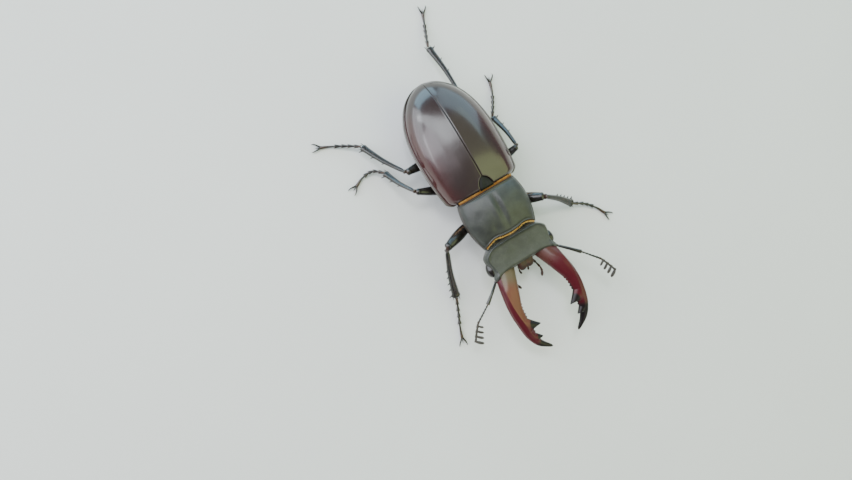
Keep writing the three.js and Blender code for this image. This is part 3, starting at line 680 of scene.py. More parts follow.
def scutellumRings(rows=40, cols=31):
    # a small crowned shield, dipped along its middle
    c = scutellum
    share = bunched(rows)[:, None]
    y = c["base"] + c["length"] * share
    wide = np.maximum(scutellumHalf(y), 0.03)
    across = np.sin(np.linspace(-np.pi / 2, np.pi / 2, cols))
    top = seamHeight(y) + c["lift"] - 0.28 * share - 0.55 * clamp(1 - share / 0.16) ** 2
    crown = top - 0.30 * across ** 4 - 0.08 * hump(across, 0, 0.35) * hump(share, 0.35, 0.3)
    below = np.linspace(0.9, -0.9, 7)
    x = np.concatenate([across * wide, below * wide], 1)
    z = np.concatenate([crown, np.broadcast_to(top - c["thickness"], (rows, 7))], 1)
    return shell(stack(x, y, z), rim=np.concatenate([np.abs(across) ** 8, np.zeros(7)]))


makePiece("scutellum_plate", [scutellumRings()], "scutellum", ["scutellum"])
print("wing cases made")

# pronotum

shield = {
    "hind": -0.15, "front": -10.9, "hindHalf": 7.1, "midHalf": 7.95, "frontHalf": 6.6, "widest": -5.2,
    "topHind": 13.1, "topMid": 13.7, "topFront": 12.3, "edge": 9.3, "under": 8.75, "cornerReach": 0.75,
    "groove": 0.36, "ridges": 0.15, "bead": 0.12, "dimple": 0.10, "frontDimple": 0.16, "frontBack": 0.5,
}


def shieldHalf(y):
    # the widest half width, less a power of the share towards either end
    s = shield
    back = mix(s["midHalf"], s["hindHalf"], clamp((y - s["widest"]) / (s["hind"] - s["widest"])) ** 2.2)
    fore = mix(s["midHalf"], s["frontHalf"], clamp((y - s["widest"]) / (s["front"] - s["widest"])) ** 1.8)
    return np.where(y > s["widest"], back, fore)


def shieldTop(y):
    # a parabola through the heights at the hind edge, the middle and the front edge
    s = shield
    share = (y - s["hind"]) / (s["front"] - s["hind"])
    return mix(s["topHind"], s["topFront"], share) + 4 * (
        s["topMid"] - (s["topHind"] + s["topFront"]) / 2) * share * (1 - share)


def frontSwing(x, share):
    # the front edge swings forward at the corners, and back a little beside the middle
    corner = -shield["cornerReach"] * np.abs(x / shield["frontHalf"]) ** 4
    return share ** 3 * (corner + shield["frontBack"] * hump(np.abs(x), 3.9, 1.8))


def shieldRings(rows=130, cols=150):
    # an arched plate: a flattened half oval carried from end to end, with beads along all four
    # edges, a long groove on the midline between two ridges, two dimples a side and rolled ends
    s = shield
    share = bunched(rows)[:, None]
    y = mix(s["hind"], s["front"], share)
    turn = np.pi * (1 - mix(np.linspace(0, 1, cols), bunched(cols), 0.35))
    half = shieldHalf(y)
    x = half * signedPower(np.cos(turn), 0.9)
    fromEnd = np.minimum(y - s["front"], s["hind"] - y)
    fromSide = half - np.abs(x)
    endRoll = 1 - 0.30 * clamp(1 - fromEnd / 0.42) ** 3
    z = s["edge"] + (shieldTop(y) - s["edge"]) * endRoll * np.sin(turn) ** 0.85
    crown = np.sin(turn) ** 0.6
    z = z - s["groove"] * hump(x, 0.1, 0.62) * hump(share, 0.5, 0.30)
    z = z + s["ridges"] * (hump(x, 1.25, 0.6) + hump(x, -1.05, 0.6)) * hump(share, 0.46, 0.26)
    z = z - s["dimple"] * hump(np.abs(x), 4.9, 1.0) * hump(y, -4.6, 1.3)
    z = z - s["frontDimple"] * hump(np.abs(x), 2.6, 0.9) * hump(y, -8.6, 1.1)
    z = z + s["bead"] * hump(fromEnd, 0.28, 0.15) * crown
    z = z - s["bead"] * 1.1 * hump(fromEnd, 0.66, 0.20) * crown
    z = z + s["bead"] * hump(fromSide, 0.10, 0.14) - s["bead"] * 1.2 * hump(fromSide, 0.42, 0.20)
    z = np.maximum(z, s["edge"] - 0.05)
    below = np.linspace(1, -1, 9)
    widthBelow = half * mix(1.0, 0.97, 1 - np.abs(below) ** 6)
    x = np.concatenate([x, below * widthBelow], 1)
    z = np.concatenate([z, mix(s["edge"] - 0.22, s["under"], 1 - np.abs(below) ** 12) + 0 * y], 1)
    y = y + frontSwing(x, share)
    rim = np.concatenate([np.maximum(hump(fromEnd, 0.2, 0.2) + 0 * fromSide, hump(fromSide, 0.08, 0.16)),
                          np.zeros((rows, 9))], 1)
    return shell(stack(x, y, z), rim=rim)


makePiece("pronotum_plate", [shieldRings()], "shield", ["pronotum"])

# head

headSize = {
    "neck": -10.75, "front": -18.0, "neckHalf": 5.7, "half": 8.0, "crestY": -11.7, "crestHeight": 0.55,
    "crestSweep": 1.5, "top": 11.9, "topFall": 0.14, "bottom": 5.6, "middle": 9.0, "cornerReach": 1.9,
    "keelHeight": 0.50, "keelWidth": 0.26, "neckKnob": 0.30, "dish": 0.28, "browSwell": 0.14,
    "cheekLobe": 0.45, "cheekBump": 0.20,
}
keelLine = [(0.0, -11.75), (2.0, -11.75), (3.6, -11.8), (5.7, -12.0), (7.0, -12.9), (7.5, -14.2),
            (7.25, -15.8), (7.0, -17.2), (7.1, -18.6)]    # x and y, on the left half


def headHalf(y):
    # a smooth step from the neck to the full width, with a waist at the eye and a flare in front
    h = headSize
    half = mix(h["neckHalf"], h["half"], ease((h["neck"] - y) / 2.9))
    return half - 0.45 * hump(y, -16.2, 1.15) + 0.22 * hump(y, -18.3, 0.8)


def headTop(x, y):
    # a nearly level plate that drops behind its ridge to the neck; the ridge crosses the back of
    # the head and runs forward on each side over the eye
    h = headSize
    crest = h["crestY"] - h["crestSweep"] * np.abs(x / h["half"]) ** 3
    behind = ease((y - h["crestY"] + 0.25) / 1.4)
    plate = h["top"] + h["topFall"] * (y - h["crestY"]) - 1.2 * behind
    plate = (plate + (h["crestHeight"] - 0.25) * hump(y, crest, 0.55)
             + 0.12 * hump(np.abs(x), 6.9, 0.7) * ease((h["crestY"] - y) / 2))
    plate = plate + h["neckKnob"] * hump(np.abs(x), 4.5, 0.75) * hump(y, -11.3, 0.42)
    dish = -h["dish"] * hump(np.abs(x), 0, 4.6) * hump(y, -15.4, 2.2)
    return plate + (dish + h["browSwell"] * hump(np.abs(x), 2.6, 1.1) * hump(y, -13.6, 1.2))


def keelShare(x, y):
    # 1 on the ridge line, a bell beside it, read from the nearest of many points on the line
    line, _ = bentLine([(a, b, 0) for a, b in keelLine], np.linspace(0, 1, 160))
    near = np.full(np.shape(x), 9.0)
    for point in line:
        near = np.minimum(near, np.hypot(np.abs(x) - point[0], y - point[1]))
    return hump(near, 0, headSize["keelWidth"])


def evenTurns(cols, wide, up, down, px, pUp, pDown):
    # turning shares at even steps round a boxy oval, so that its corners get enough points
    turn = np.linspace(0, 2 * np.pi, 6001)
    s = np.sin(turn)
    x = wide * signedPower(np.cos(turn), px)
    z = np.where(s > 0, up * np.abs(s) ** pUp, -down * np.abs(s) ** pDown)
    run = np.concatenate([[0], np.cumsum(np.hypot(np.diff(x), np.diff(z)))])
    return np.interp(np.linspace(0, run[-1], cols, endpoint=False), run, turn)


def headRings(rows=150, cols=200):
    # boxy ovals from the neck to the jaws; the cheeks reach forward beside the jaws, the front
    # rolls under, and the side is notched where the eye sits
    h = headSize
    front = 0.88 + 0.12 * np.sin(np.linspace(0, np.pi / 2, 35))[1:]
    share = np.concatenate([np.linspace(0, 0.88, rows - 34), front])[:, None]
    y = mix(h["neck"], h["front"], share)
    half = headHalf(y)
    turn = evenTurns(cols, 8.0, 2.8, 3.4, 0.62, 0.45, 0.75)
    roll = rounded(share, 0.88, 0.12, 0.95)
    rollX = mix(1, roll, 0.35)
    x = half * signedPower(np.cos(turn), 0.62) * rollX
    up = np.sin(turn) > 0
    reach = np.where(up, headTop(x, y) - h["middle"], h["middle"] - h["bottom"])
    z = h["middle"] + np.sign(np.sin(turn)) * np.abs(np.sin(turn)) ** np.where(up, 0.45, 0.75) * reach * roll
    cheek = -h["cornerReach"] * np.abs(x / h["half"]) ** 5 * ease((share - 0.55) / 0.45)
    y = y + cheek
    level = clamp(np.sin(turn) * 1.6) * up
    keel = keelShare(x, y)
    z = z + h["keelHeight"] * keel * level * mix(1, 0.45, clamp((-13 - y) / 5))
    lobe = hump(y, -18.2, 0.75) * hump(z, 9.6, 0.8)
    x = x + np.sign(x) * h["cheekLobe"] * lobe
    z = z + h["cheekBump"] * hump(y, -18.0, 0.7) * hump(np.abs(x), 7.3, 0.6) * level
    # neck marks the slope behind the crest, painted darker as shade and made glossier in the finish
    neck = ease((y - h["crestY"] - 0.05 + 1.5 * np.abs(x / h["half"]) ** 3) / 0.5)
    return shell(stack(x, y, z), ridge=clamp(keel * level + lobe * 0.9), neck=neck)


makePiece("head_shield", [headRings()], "head", ["head"])

eye = {"x": 7.55, "y": -16.1, "z": 8.75, "rx": 1.15, "ry": 1.75, "rz": 1.35}


def eyeRings(sign, rows=60, cols=72):
    # an egg with its blunt end forward, and a shallow dent where the cheek's bar crosses it
    turn = around(cols)
    tilt = np.linspace(0.02, np.pi - 0.02, rows)[:, None]
    ahead = np.cos(tilt)
    wide = np.sin(tilt) * (1 + 0.10 * ahead)
    facet = 1 + 0.004 * np.cos(30 * tilt) * np.cos(36 * turn)
    x = eye["x"] + eye["rx"] * wide * np.cos(turn) * facet
    z = eye["z"] + eye["rz"] * wide * np.sin(turn) * facet
    x = x - 0.12 * hump(z, eye["z"] + 0.25, 0.16) * clamp(ahead - 0.1)
    return shell(stack(sign * x, eye["y"] - eye["ry"] * ahead * facet, z))


for sign, word in bothSides:
    makePiece(f"eyeball_{word}", [eyeRings(sign)], "eye", [f"eye_{word}"])
print("pronotum and head made")

# jaws

jaw = {
    "line": [(4.85, -16.7, 8.8), (6.65, -22.6, 9.8), (7.55, -26.2, 10.0), (7.55, -29.8, 9.6),
             (7.1, -33.0, 8.7), (5.95, -35.8, 7.6), (3.5, -38.2, 6.7)],
    "halfWidth": [2.5, 1.98, 1.50, 1.30, 1.16, 0.8, 0.26],
    "halfDepth": [2.2, 1.75, 1.35, 1.15, 0.95, 0.7, 0.26],
    # each tooth: share of the jaw's length, half its root as a share, the vector to its tip, sharpness
    "teeth": [(0.548, 0.074, (-1.95, -0.95, 0.20), 1.1), (0.738, 0.042, (-0.92, -0.62, 0.20), 1.0)],
    # each small tooth: share of the jaw's length, how far it stands out
    "nubs": [(0.30, 0.18), (0.34, 0.26), (0.38, 0.24), (0.42, 0.32), (0.455, 0.26), (0.635, 0.26),
             (0.67, 0.22)],
    "swing": 42,    # degrees by which the ridge moves over the top along the jaw
    # left and right: where the black begins, earlier on the left as painted shade; how strongly the top face
    # is painted orange as painted light; how strong the painted olive sheen on the root is
    "blackAndShadeFrom": (0.54, 0.69), "paintedTopLight": (0.0, 0.95), "rootSheen": (0.3, 1.0),
}


def jawRings(sign, cols=84):
    # an oval section carried along the bent midline, its upper outer side drawn out to a ridge
    # and its inner side to an edge; the inner edge is pulled out to each tooth by a pointed bell
    shares = [np.linspace(0, 1, 210), 1 - 0.02 * np.linspace(0, 1, 14) ** 2]
    shares += [at + wide * np.linspace(-1, 1, 34) for at, wide, _, _ in jaw["teeth"]]
    shares += [at + 0.02 * np.linspace(-1, 1, 8) for at, _ in jaw["nubs"]]
    t = np.unique(np.clip(np.round(np.concatenate(shares + [0.02 * np.linspace(0, 1, 12) ** 2]), 5), 0, 1))
    angle, which = around(cols), int(sign < 0)
    wide, deep = readList(jaw["halfWidth"], t)[:, None], readList(jaw["halfDepth"], t)[:, None]
    deep = deep * mix(0.66, 1, ease(t / 0.17))[:, None]    # the hinge end slips under the head
    end = (rounded(t, 0.965, 0.035) * rounded(t, 0.02, -0.02))[:, None]
    wide, deep = wide * (0.02 + 0.98 * end), deep * (0.02 + 0.98 * end)
    c, s, tt = np.cos(angle), np.sin(angle), t[:, None]
    away = lambda where: np.abs((angle - np.radians(where) + np.pi) % (2 * np.pi) - np.pi)
    fade = ease((tt - 0.05) / 0.12) * (1 - ease((tt - 0.58) / 0.22))
    swing = jaw["swing"] * ease((tt - 0.08) / 0.45)
    ridge = (0.15 * np.exp(-away(50 + swing) / 0.16) * fade - 0.08 * hump(away(95 + swing), 0, 0.40) * fade
             - 0.07 * hump(away(18), 0, 0.3) * fade)
    edge = 0.10 * np.exp(-away(180) / 0.35) * ease((tt - 0.1) / 0.2)
    out = wide * c * (1 + ridge + edge)
    high = deep * signedPower(s, 0.92) * (1 + ridge)
    inward = clamp(np.cos(away(180))) ** 1.15
    for at, grow in jaw["nubs"]:
        nub = clamp(1 - np.abs(tt - at) / 0.017) ** 0.9
        out = out - grow * nub * clamp(1 - away(186) / 0.7) ** 1.4
    rings = carry(jaw["line"], t, -out, high)
    # the black of the teeth and tips is the jaw's own; the left jaw's earlier start is painted shade over its
    # end
    dark = ease((tt - jaw["blackAndShadeFrom"][which]) / 0.22)
    dark = np.maximum(dark, 0.45 * ease((0.07 - tt) / 0.04)) + 0 * angle
    for at, reach, pull, sharp in jaw["teeth"]:
        weight = clamp(1 - np.abs(tt - at) / reach) ** sharp * inward
        rings = rings + weight[..., None] * (np.asarray(pull, float) * 1.12)
        dark = np.maximum(dark, ease(weight / 0.45))
    dark = np.maximum(dark, 0.75 * hump(away(180), 0, 0.5) * ease((tt - 0.25) / 0.2))
    inner = ease((away(110 + swing) - 1.10) / -0.16)    # the face inside the ridge
    # painted light: how much the top face inside the ridge is lit orange, full on the right jaw and none on
    # the left
    top = jaw["paintedTopLight"][which] * inner * (1 - ease((tt - 0.42) / 0.22)) + 0 * angle
    # painted sheen: the root's top face painted olive grey, strong on the right jaw and faint on the left
    dust = 0.8 * inner * ease((0.16 - tt) / 0.10) * jaw["rootSheen"][which]
    return shell(rings * [sign, 1, 1], dark=dark, top=top, dust=dust)


for sign, word in bothSides:
    makePiece(f"jaw_{word}", [jawRings(sign)], "jaw", [f"mandible_{word}"])
print("jaws made")

# mouth

mouth = {
    "lip": [(0, -17.4, 9.6), (0, -18.8, 9.1), (0, -19.9, 8.3)], "lipHalf": 2.15, "lipDepth": 0.48,
    "chin": (0, -16.9, 4.95), "chinSize": (2.8, 1.7, 0.50),
    "feelerLong": [(2.3, -18.4, 6.3), (3.1, -20.6, 5.8), (3.4, -22.2, 5.5), (2.8, -23.7, 5.3)],
    "feelerShort": [(0.8, -18.3, 5.6), (1.1, -19.9, 5.1), (0.9, -20.9, 4.7)],
    "feelerThick": (0.32, 0.26), "feelerJoints": (4, 3),    # long, short
    "brush": (0.75, -18.3, 6.3), "brushHairs": 420, "brushLong": 1.5, "brushThick": 0.032,
}


def chainShares(ends, rows=16):
    # bunched places along each joint of a chain
    edges = np.concatenate([[0.0], ends])
    return np.unique(np.concatenate([a + (b - a) * bunched(rows) for a, b in zip(edges[:-1], edges[1:])]))


def chainRadius(t, ends, thin, thick, power=1.4, close=0.78):
    # in each joint the radius widens by a power of the joint's length, then rounds off at its end
    edges = np.concatenate([[0.0], ends])
    i = np.clip(np.searchsorted(edges, t, side="right") - 1, 0, len(edges) - 2)
    u = clamp((t - edges[i]) / (edges[i + 1] - edges[i]))
    thin, thick = (np.broadcast_to(v, len(ends))[i] for v in (thin, thick))
    return mix(thin, thick, u ** power) * rounded(u, 0.85, 0.15, close)


def lipShell():
    # a bent plate with a notched front edge
    m, t, angle = mouth, bunched(50), around(72)
    fade = domeEnds(mix(0.1, 1, t), 0.22)[:, None]
    wide = m["lipHalf"] * mix(1, 0.74, t)[:, None] * (0.03 + 0.97 * fade)
    deep = m["lipDepth"] * (0.03 + 0.97 * fade) * (1 - 0.25 * hump(np.cos(angle), 0, 0.3))
    out = wide * signedPower(np.cos(angle), 0.8)
    notch = -0.55 * hump(out, 0, 0.6) * t[:, None] ** 3
    return shell(carry(m["lip"], t, out, deep * signedPower(np.sin(angle), 0.8), notch))


def chinShell():
    # a flat shield with a raised rim, wider in front
    (x0, y0, z0), (half, long, tall) = mouth["chin"], mouth["chinSize"]
    t, angle = bunched(44)[:, None], around(64)
    wide = half * np.sqrt(clamp(1 - (2 * t - 1) ** 4, 0.0005)) * mix(0.86, 1.0, t)
    x = x0 + wide * signedPower(np.cos(angle), 0.75)
    z = z0 + tall * signedPower(np.sin(angle), 0.7) * np.sqrt(clamp(1 - (2 * t - 1) ** 6, 0.001))
    z = z + 0.14 * hump(np.abs(x) / half, 0.0, 0.5) * (np.sin(angle) < 0)
    return shell(stack(x, y0 + long * (1 - 2 * t), z))


def palpShell(line, sign, thick, joints):
    # a chain of joints that swell towards their ends, the last one egg shaped
    ends = np.linspace(0, 1, joints + 1)[1:]
    t = chainShares(ends)
    egg = np.sqrt(clamp(np.sin(np.pi * clamp((t - ends[-2]) / (1 - ends[-2]) * 0.86 + 0.14)))) * thick
    radius = lambda t: np.where(t > ends[-2], egg, chainRadius(t, ends, thick * 0.55, thick))
    return limb(np.multiply(line, [sign, 1, 1]), radius, radius, t=t, sides=20)


makePiece("lip_plate", [lipShell()], "mouth", ["labrum"])
makePiece("chin_plate", [chinShell()], "under", ["mentum"])
for sign, word in bothSides:
    for which, (size, node) in enumerate((("long", "maxillary"), ("short", "labial"))):
        palp = palpShell(mouth[f"feeler{size.title()}"], sign, mouth["feelerThick"][which],
                         mouth["feelerJoints"][which])
        makePiece(f"{size}_palp_{word}", [palp], "mouth", [f"palp_{node}_{word}"])
print("mouth made")

# legs

legs = [
    # the hip, the knee and the ankle, then three places of the foot on the floor, thorns, thickness
    {"name": "front_right", "coxa": (-3.3, -4.6, 4.9), "knee": (-13.65, -6.95, 8.5),
     "ankle": (-16.4, -18.2, 2.2), "foot": [(-17.6, -21.3), (-18.9, -24.6), (-19.8, -27.2)],
     "teeth": 5, "stout": 1.0},
    {"name": "front_left", "coxa": (3.3, -4.6, 4.9), "knee": (11.4, -8.0, 9.2),
     "ankle": (18.8, -13.2, 2.2), "foot": [(21.6, -14.8), (23.9, -17.0), (25.4, -19.5)],
     "teeth": 5, "stout": 1.0},
    {"name": "middle_right", "coxa": (-3.1, 3.4, 4.3), "knee": (-13.3, 7.2, 8.6),
     "ankle": (-16.3, 14.8, 2.2), "foot": [(-18.4, 16.5), (-21.0, 16.4), (-23.4, 15.3)],
     "teeth": 3, "stout": 0.78},
    {"name": "middle_left", "coxa": (3.1, 3.4, 4.3), "knee": (12.0, 4.8, 8.5),
     "ankle": (12.4, 13.8, 2.2), "foot": [(14.2, 16.2), (15.8, 18.8), (16.8, 21.6)],
     "teeth": 3, "stout": 0.78},
    {"name": "hind_right", "coxa": (-3.2, 12.0, 4.2), "knee": (-12.8, 11.9, 7.9),
     "ankle": (-17.9, 22.6, 2.2), "foot": [(-20.6, 24.4), (-23.6, 26.1), (-26.1, 27.2)],
     "teeth": 3, "stout": 0.84},
    {"name": "hind_left", "coxa": (3.2, 12.0, 4.2), "knee": (7.4, 21.8, 5.6),
     "ankle": (7.4, 35.2, 2.2), "foot": [(8.7, 38.2), (10.0, 41.0), (10.9, 43.2)],
     "teeth": 3, "stout": 0.84},
]
for leg in legs:
    leg.update({key: np.array(leg[key]) for key in ("coxa", "knee", "ankle")})
legSize = {
    "coxa": (2.1, 1.5, 1.5), "femurEnd": 0.85, "swell": 0.45, "tibiaRoot": 0.52, "tibiaTip": 0.95,
    "tibiaFlat": 0.68, "footHeights": (1.35, 0.62, 0.34), "footEnds": [0.155, 0.305, 0.445, 0.59, 1.0],
    "jointThin": (0.26, 0.22, 0.22, 0.22, 0.20), "jointThick": (0.47, 0.49, 0.49, 0.52, 0.40),
    "clawThick": 0.24, "clawPoint": 0.035, "clawReach": 1.7, "clawSpread": 0.9, "tooth": 0.6, "peg": 0.085,
    # spurs round the ankle: share of the shin's width off its middle, length
    "spurs": ((-0.62, 1.0), (-0.30, 0.72), (0.25, 0.6), (0.6, 0.62)),
}


def femurRoot(leg):
    # just outside the hip, a little on the way to the knee
    sign, coxa, knee = np.sign(leg["knee"][0]), leg["coxa"], leg["knee"]
    return np.array([coxa[0] + sign * 2.35, mix(coxa[1], knee[1], 0.12), coxa[2] + 0.1])


def outwardOf(leg):
    # level, square to the shin, away from the body
    out = unit(np.cross(leg["ankle"] - leg["knee"], [0, 0, 1.0]))
    return out if out[0] * leg["knee"][0] >= 0 else -out


def coxaShells(leg):
    # a barrel across the body with a turned edge, and the small ring joint that carries the thigh
    rx, ry, rz = legSize["coxa"]
    coxa, knee, root = leg["coxa"], leg["knee"], femurRoot(leg)
    start, end = coxa - [rx, 0, 0], coxa + [rx, 0, 0]
    fat = lambda t: np.sqrt(clamp(1 - np.abs(2 * t - 1) ** 2.6)) * (1 - 0.05 * hump(t, 0.5, 0.06))
    barrel = limb([start, (start + end) / 2, end], lambda t: ry * fat(t), lambda t: rz * fat(t), rows=36,
                  sides=40)
    inner = mix(coxa, root, 0.45)
    ring = lambda t: leg["stout"] * 0.92 * domeEnds(t, 0.35)
    return [barrel, limb([inner, root, mix(root, knee, 0.10)], ring, ring, rows=26, sides=32)]


def femurShell(leg):
    # thickest before the middle, flattened, with a low keel in front and a notched knee
    s, root, knee = leg["stout"], femurRoot(leg), leg["knee"]
    end, grow = legSize["femurEnd"], legSize["swell"]
    t = np.unique(np.concatenate([bunched(70), np.linspace(0.9, 1, 14)]))
    tt, c, v = t[:, None], np.cos(around(48)), np.sin(around(48))
    swell, knob = np.sin(np.pi * clamp(tt) ** 0.88) ** 1.1, hump(tt, 0.95, 0.04)
    close = 0.01 + 0.99 * domeEnds(mix(0.02, 0.995, tt), 0.07)
    wide = s * (end - 0.06 + grow * swell + 0.07 * knob) * close
    deep = s * (end - 0.12 + (grow - 0.06) * swell + 0.10 * knob) * close
    keel = 1 + 0.05 * hump(c, 1, 0.25) + 0.05 * hump(c, -1, 0.25)
    keel = keel - 0.10 * hump(v, -1, 0.35) * hump(tt, 0.97, 0.06)
    return shell(carry([root, mix(root, knee, 0.5), knee], t, wide * c * keel, deep * v * keel))


def shinLine(leg):
    # from knee to ankle, bowed a little outwards
    start, end = (mix(leg["knee"], leg["ankle"], share) for share in (0.02, 0.97))
    return [start, (start + end) / 2 + 0.3 * outwardOf(leg), end]


def shinWidth(leg, t):
    # the half width, which grows by a power of the shin's length
    return leg["stout"] * mix(legSize["tibiaRoot"], legSize["tibiaTip"], clamp(t) ** 1.4)


def tibiaShells(leg):
    # a fluted shin that widens to its end, with a round head at the knee, a row of thorns on the
    # outer edge and a crown of spurs round the ankle
    s, line, out = leg["stout"], shinLine(leg), outwardOf(leg)
    start, end = line[0], line[2]
    t = np.unique(np.concatenate([bunched(90), np.linspace(0.93, 1, 16)]))
    tt, angle = t[:, None], around(48)
    root, tip = legSize["tibiaRoot"], legSize["tibiaTip"]
    head = 0.10 * s * hump(tt, 0.015, 0.02) - 0.10 * s * hump(tt, 0.06, 0.025)
    close = 0.01 + 0.99 * domeEnds(mix(0.01, 0.992, tt), 0.025)
    flute = 1 + 0.035 * np.cos(6 * angle) * ease((tt - 0.1) / 0.15)
    flare = 1 + 0.10 * hump(tt, 0.965, 0.03)
    wide = (s * mix(root, tip * 0.97, tt ** 1.4) * flare + head) * close * flute
    deep = (s * mix(root, tip * legSize["tibiaFlat"], tt) * flare + head) * close * flute
    made = [shell(carry(line, t, wide * np.cos(angle), deep * np.sin(angle)))]
    down = unit(end - start)
    for k in range(leg["teeth"]):
        share = 0.42 + 0.13 * k if leg["teeth"] == 5 else 0.45 + 0.25 * k
        big = 1.25 if k == leg["teeth"] - 1 else 0.62 + 0.09 * k
        bow = 0.3 * 4 * share * (1 - share) * 0.9
        root = mix(start, end, share) + out * (shinWidth(leg, share) * 0.50 + bow)
        reach = legSize["tooth"] * big + 0.35 * s
        tip = root + out * reach + down * reach * 0.55
        made.append(thorn(root, tip, 0.30 * s * (0.8 + 0.25 * big), bend=-0.06 * down))
    for share in np.linspace(0.12, 0.9, 9 if leg["teeth"] == 5 else 6):    # a lower row of mere points
        root = mix(start, end, share) + out * shinWidth(leg, share) * 0.45 - [0, 0, 0.25 * s]
        tip = root + out * 0.42 * s + down * 0.34 - [0, 0, 0.12]
        made.append(thorn(root, tip, 0.12 * s, rows=6, sides=8, blunt=0.03))
    for aside, length in legSize["spurs"]:
        root = end + out * aside * shinWidth(leg, 1) - down * 0.35 - [0, 0, 0.18 * s]
        tip = root + down * (0.45 + length * s) + out * aside * 0.35 - [0, 0, 0.12]
        tip[2] = max(tip[2], 0.12)
        made.append(thorn(root, tip, 0.17 * s, bend=(0, 0, 0.05), rows=9, sides=10, blunt=0.04))
    return made


def footLine(leg):
    # from the ankle over the three places of the foot, each at its height
    return np.array([leg["ankle"]] + [(x, y, z) for (x, y), z in zip(leg["foot"], legSize["footHeights"])])


def footShells(leg):
    # four short joints like upturned cones, a long claw joint, two hooked claws and the bristled
    # peg between them, all kept above the floor
    f, line, angle = legSize, footLine(leg), around(32)
    t = chainShares(f["footEnds"], 20)
    radius = chainRadius(t, f["footEnds"], f["jointThin"], f["jointThick"], 1.25, 0.85)[:, None]
    under = 1 + 0.10 * clamp(-np.sin(angle))
    chain = shell(carry(line, t, radius * np.cos(angle), radius * np.sin(angle) * under))
    tip, ahead = line[3], unit((line[3] - line[2]) * [1, 1, 0])
    across = np.cross(ahead, [0, 0, 1.0])
    made = [chain]
    for sign in (-1, 1):
        at = lambda go, out, z: tip * [1, 1, 0] + ahead * go + across * sign * out + [0, 0, z]
        reach, wide = f["clawReach"], f["clawSpread"]
        hook = [at(-0.30, 0.08, 0.42), at(reach * 0.38, wide * 0.70, 0.66),
                at(reach * 0.80, wide * 1.0, 0.55), at(reach * 1.02, wide * 0.96, 0.10)]
        radius = lambda t: mix(f["clawThick"], f["clawPoint"], t ** 0.9) * rounded(t, 0.96, 0.04)
        made.append(limb(hook, radius, radius, rows=34, sides=16))
    peg = lambda t: f["peg"] * domeEnds(t, 0.2)
    made.append(limb([tip + ahead * 0.1, tip + ahead * 0.62 + [0, 0, -0.06]], peg, peg, rows=12, sides=10))
    for sign in (-1, 1):
        point = tip + ahead * 1.05 + across * 0.16 * sign - [0, 0, 0.1]
        made.append(thorn(tip + ahead * 0.55, point, 0.035, rows=5, sides=6, blunt=0.012))
    for points, _, _, _ in made:
        points[:, 2] = np.maximum(points[:, 2], 0)
    return made


for leg in legs:
    name = leg["name"]
    makePiece(f"hip_{name}", coxaShells(leg), "leg", [f"coxa_{name}"])
    makePiece(f"thigh_{name}", [femurShell(leg)], "leg", [f"femur_{name}"])
    makePiece(f"shin_{name}", tibiaShells(leg), "leg", [f"tibia_{name}"])
    makePiece(f"foot_{name}", footShells(leg), "foot", [f"tarsus_{name}"])
print("legs made:", len(legs))

# underside

belly = {
    "thoraxStart": -0.20, "thoraxEnd": 13.55, "start": 13.8, "end": 26.6, "depth": 5.0, "depthLoss": 0.05,
    "inset": 0.45, "plates": 5, "plateStep": 0.16,
}
chest = {"hind": -0.15, "front": -10.4, "halfWidth": 7.3, "depth": 5.1}


def clearLegs(points, top, names):
    # presses the skin up out of the way of each coxa and thigh: over every ball along the leg's
    # root the skin stays above the ball
    z = points[..., 2]
    for leg in legs:
        if leg["name"] not in names:
            continue
        root, knee, shares = femurRoot(leg), leg["knee"], np.linspace(0, 1, 90)
        inner = leg["coxa"] - [np.sign(knee[0]) * (legSize["coxa"][0] + 0.2), 0, 0]
        places, _ = bentLine([inner, root, mix(root, knee, 0.5), mix(root, knee, 1.1)], shares)
        for place, share in zip(places, shares):
            reach = legSize["coxa"][2] * mix(1.16, 1.0, ease((share - 0.3) / 0.12))
            near = np.hypot(points[..., 0] - place[0], points[..., 1] - place[1])
            ball = place[2] + np.sqrt(clamp(reach ** 2 - near ** 2, 0, 99))
            z = np.where(near < reach, np.minimum(np.maximum(z, ball), np.maximum(z, top)), z)
    points[..., 2] = z
    return points


def keelRings(y, top, half, depth, close, detail, names, cols=150):
    # a flat top and a rounded keel below it
    turn = np.linspace(0, np.pi, cols)
    x = half * mix(0.55, 1, close) * signedPower(np.cos(turn), 0.8)
    z = top - 0.5 * close - (depth * close - 0.5 * close) * np.sin(turn) ** 1.15
    z = z + detail(x, y, z) * np.sin(turn) ** 0.5
    low = clearLegs(stack(x, y, z), top - 0.45 * close, names)
    over = np.linspace(-1, 1, 7)
    return shell(np.concatenate([low, stack(over * half * mix(0.55, 1, close), y, top)], 1))


def chestShell():
    # the sternum of the front legs, with a spine between the coxae and a swollen middle
    c = chest
    share = bunched(90)[:, None]
    y = mix(c["hind"], c["front"], share)
    ends = 0.55 + 0.45 * domeEnds(mix(0.01, 0.99, share), 0.05)
    close = mix(0.72, 1, np.sin(np.pi * clamp(share, 0.02, 0.98)) ** 0.6) * ends
    detail = lambda x, y, z: (-0.45 * hump(x, 0, 0.75) * hump(y, -3.6, 2.6)
                              + 0.12 * hump(np.abs(x), 1.4, 0.35) * hump(y, -4.0, 2.6)
                              + 0.14 * hump(y, -8.6, 0.25))
    return keelRings(y, shield["under"] - 0.25 + 0 * y, c["halfWidth"] * shieldHalf(y) / shield["midHalf"],
                     c["depth"] + 0 * y, close, detail, ("front_right", "front_left"))


def underWing(y):
    # a little below the lower face of the wing cases' edges
    return wingEdge(y) - wingCase["thickness"] - 0.25


def bellyHalf(y):
    # the half width of the wing cases less an inset
    return np.maximum(0.4, wingHalf(y) - belly["inset"])


def bellyDepth(y):
    # it gets less towards the tail, and closes there by the root of a cube
    return (belly["depth"] - belly["depthLoss"] * y) * np.sqrt(clamp(1 - tailShare(y) ** 3, 0.02, 1))


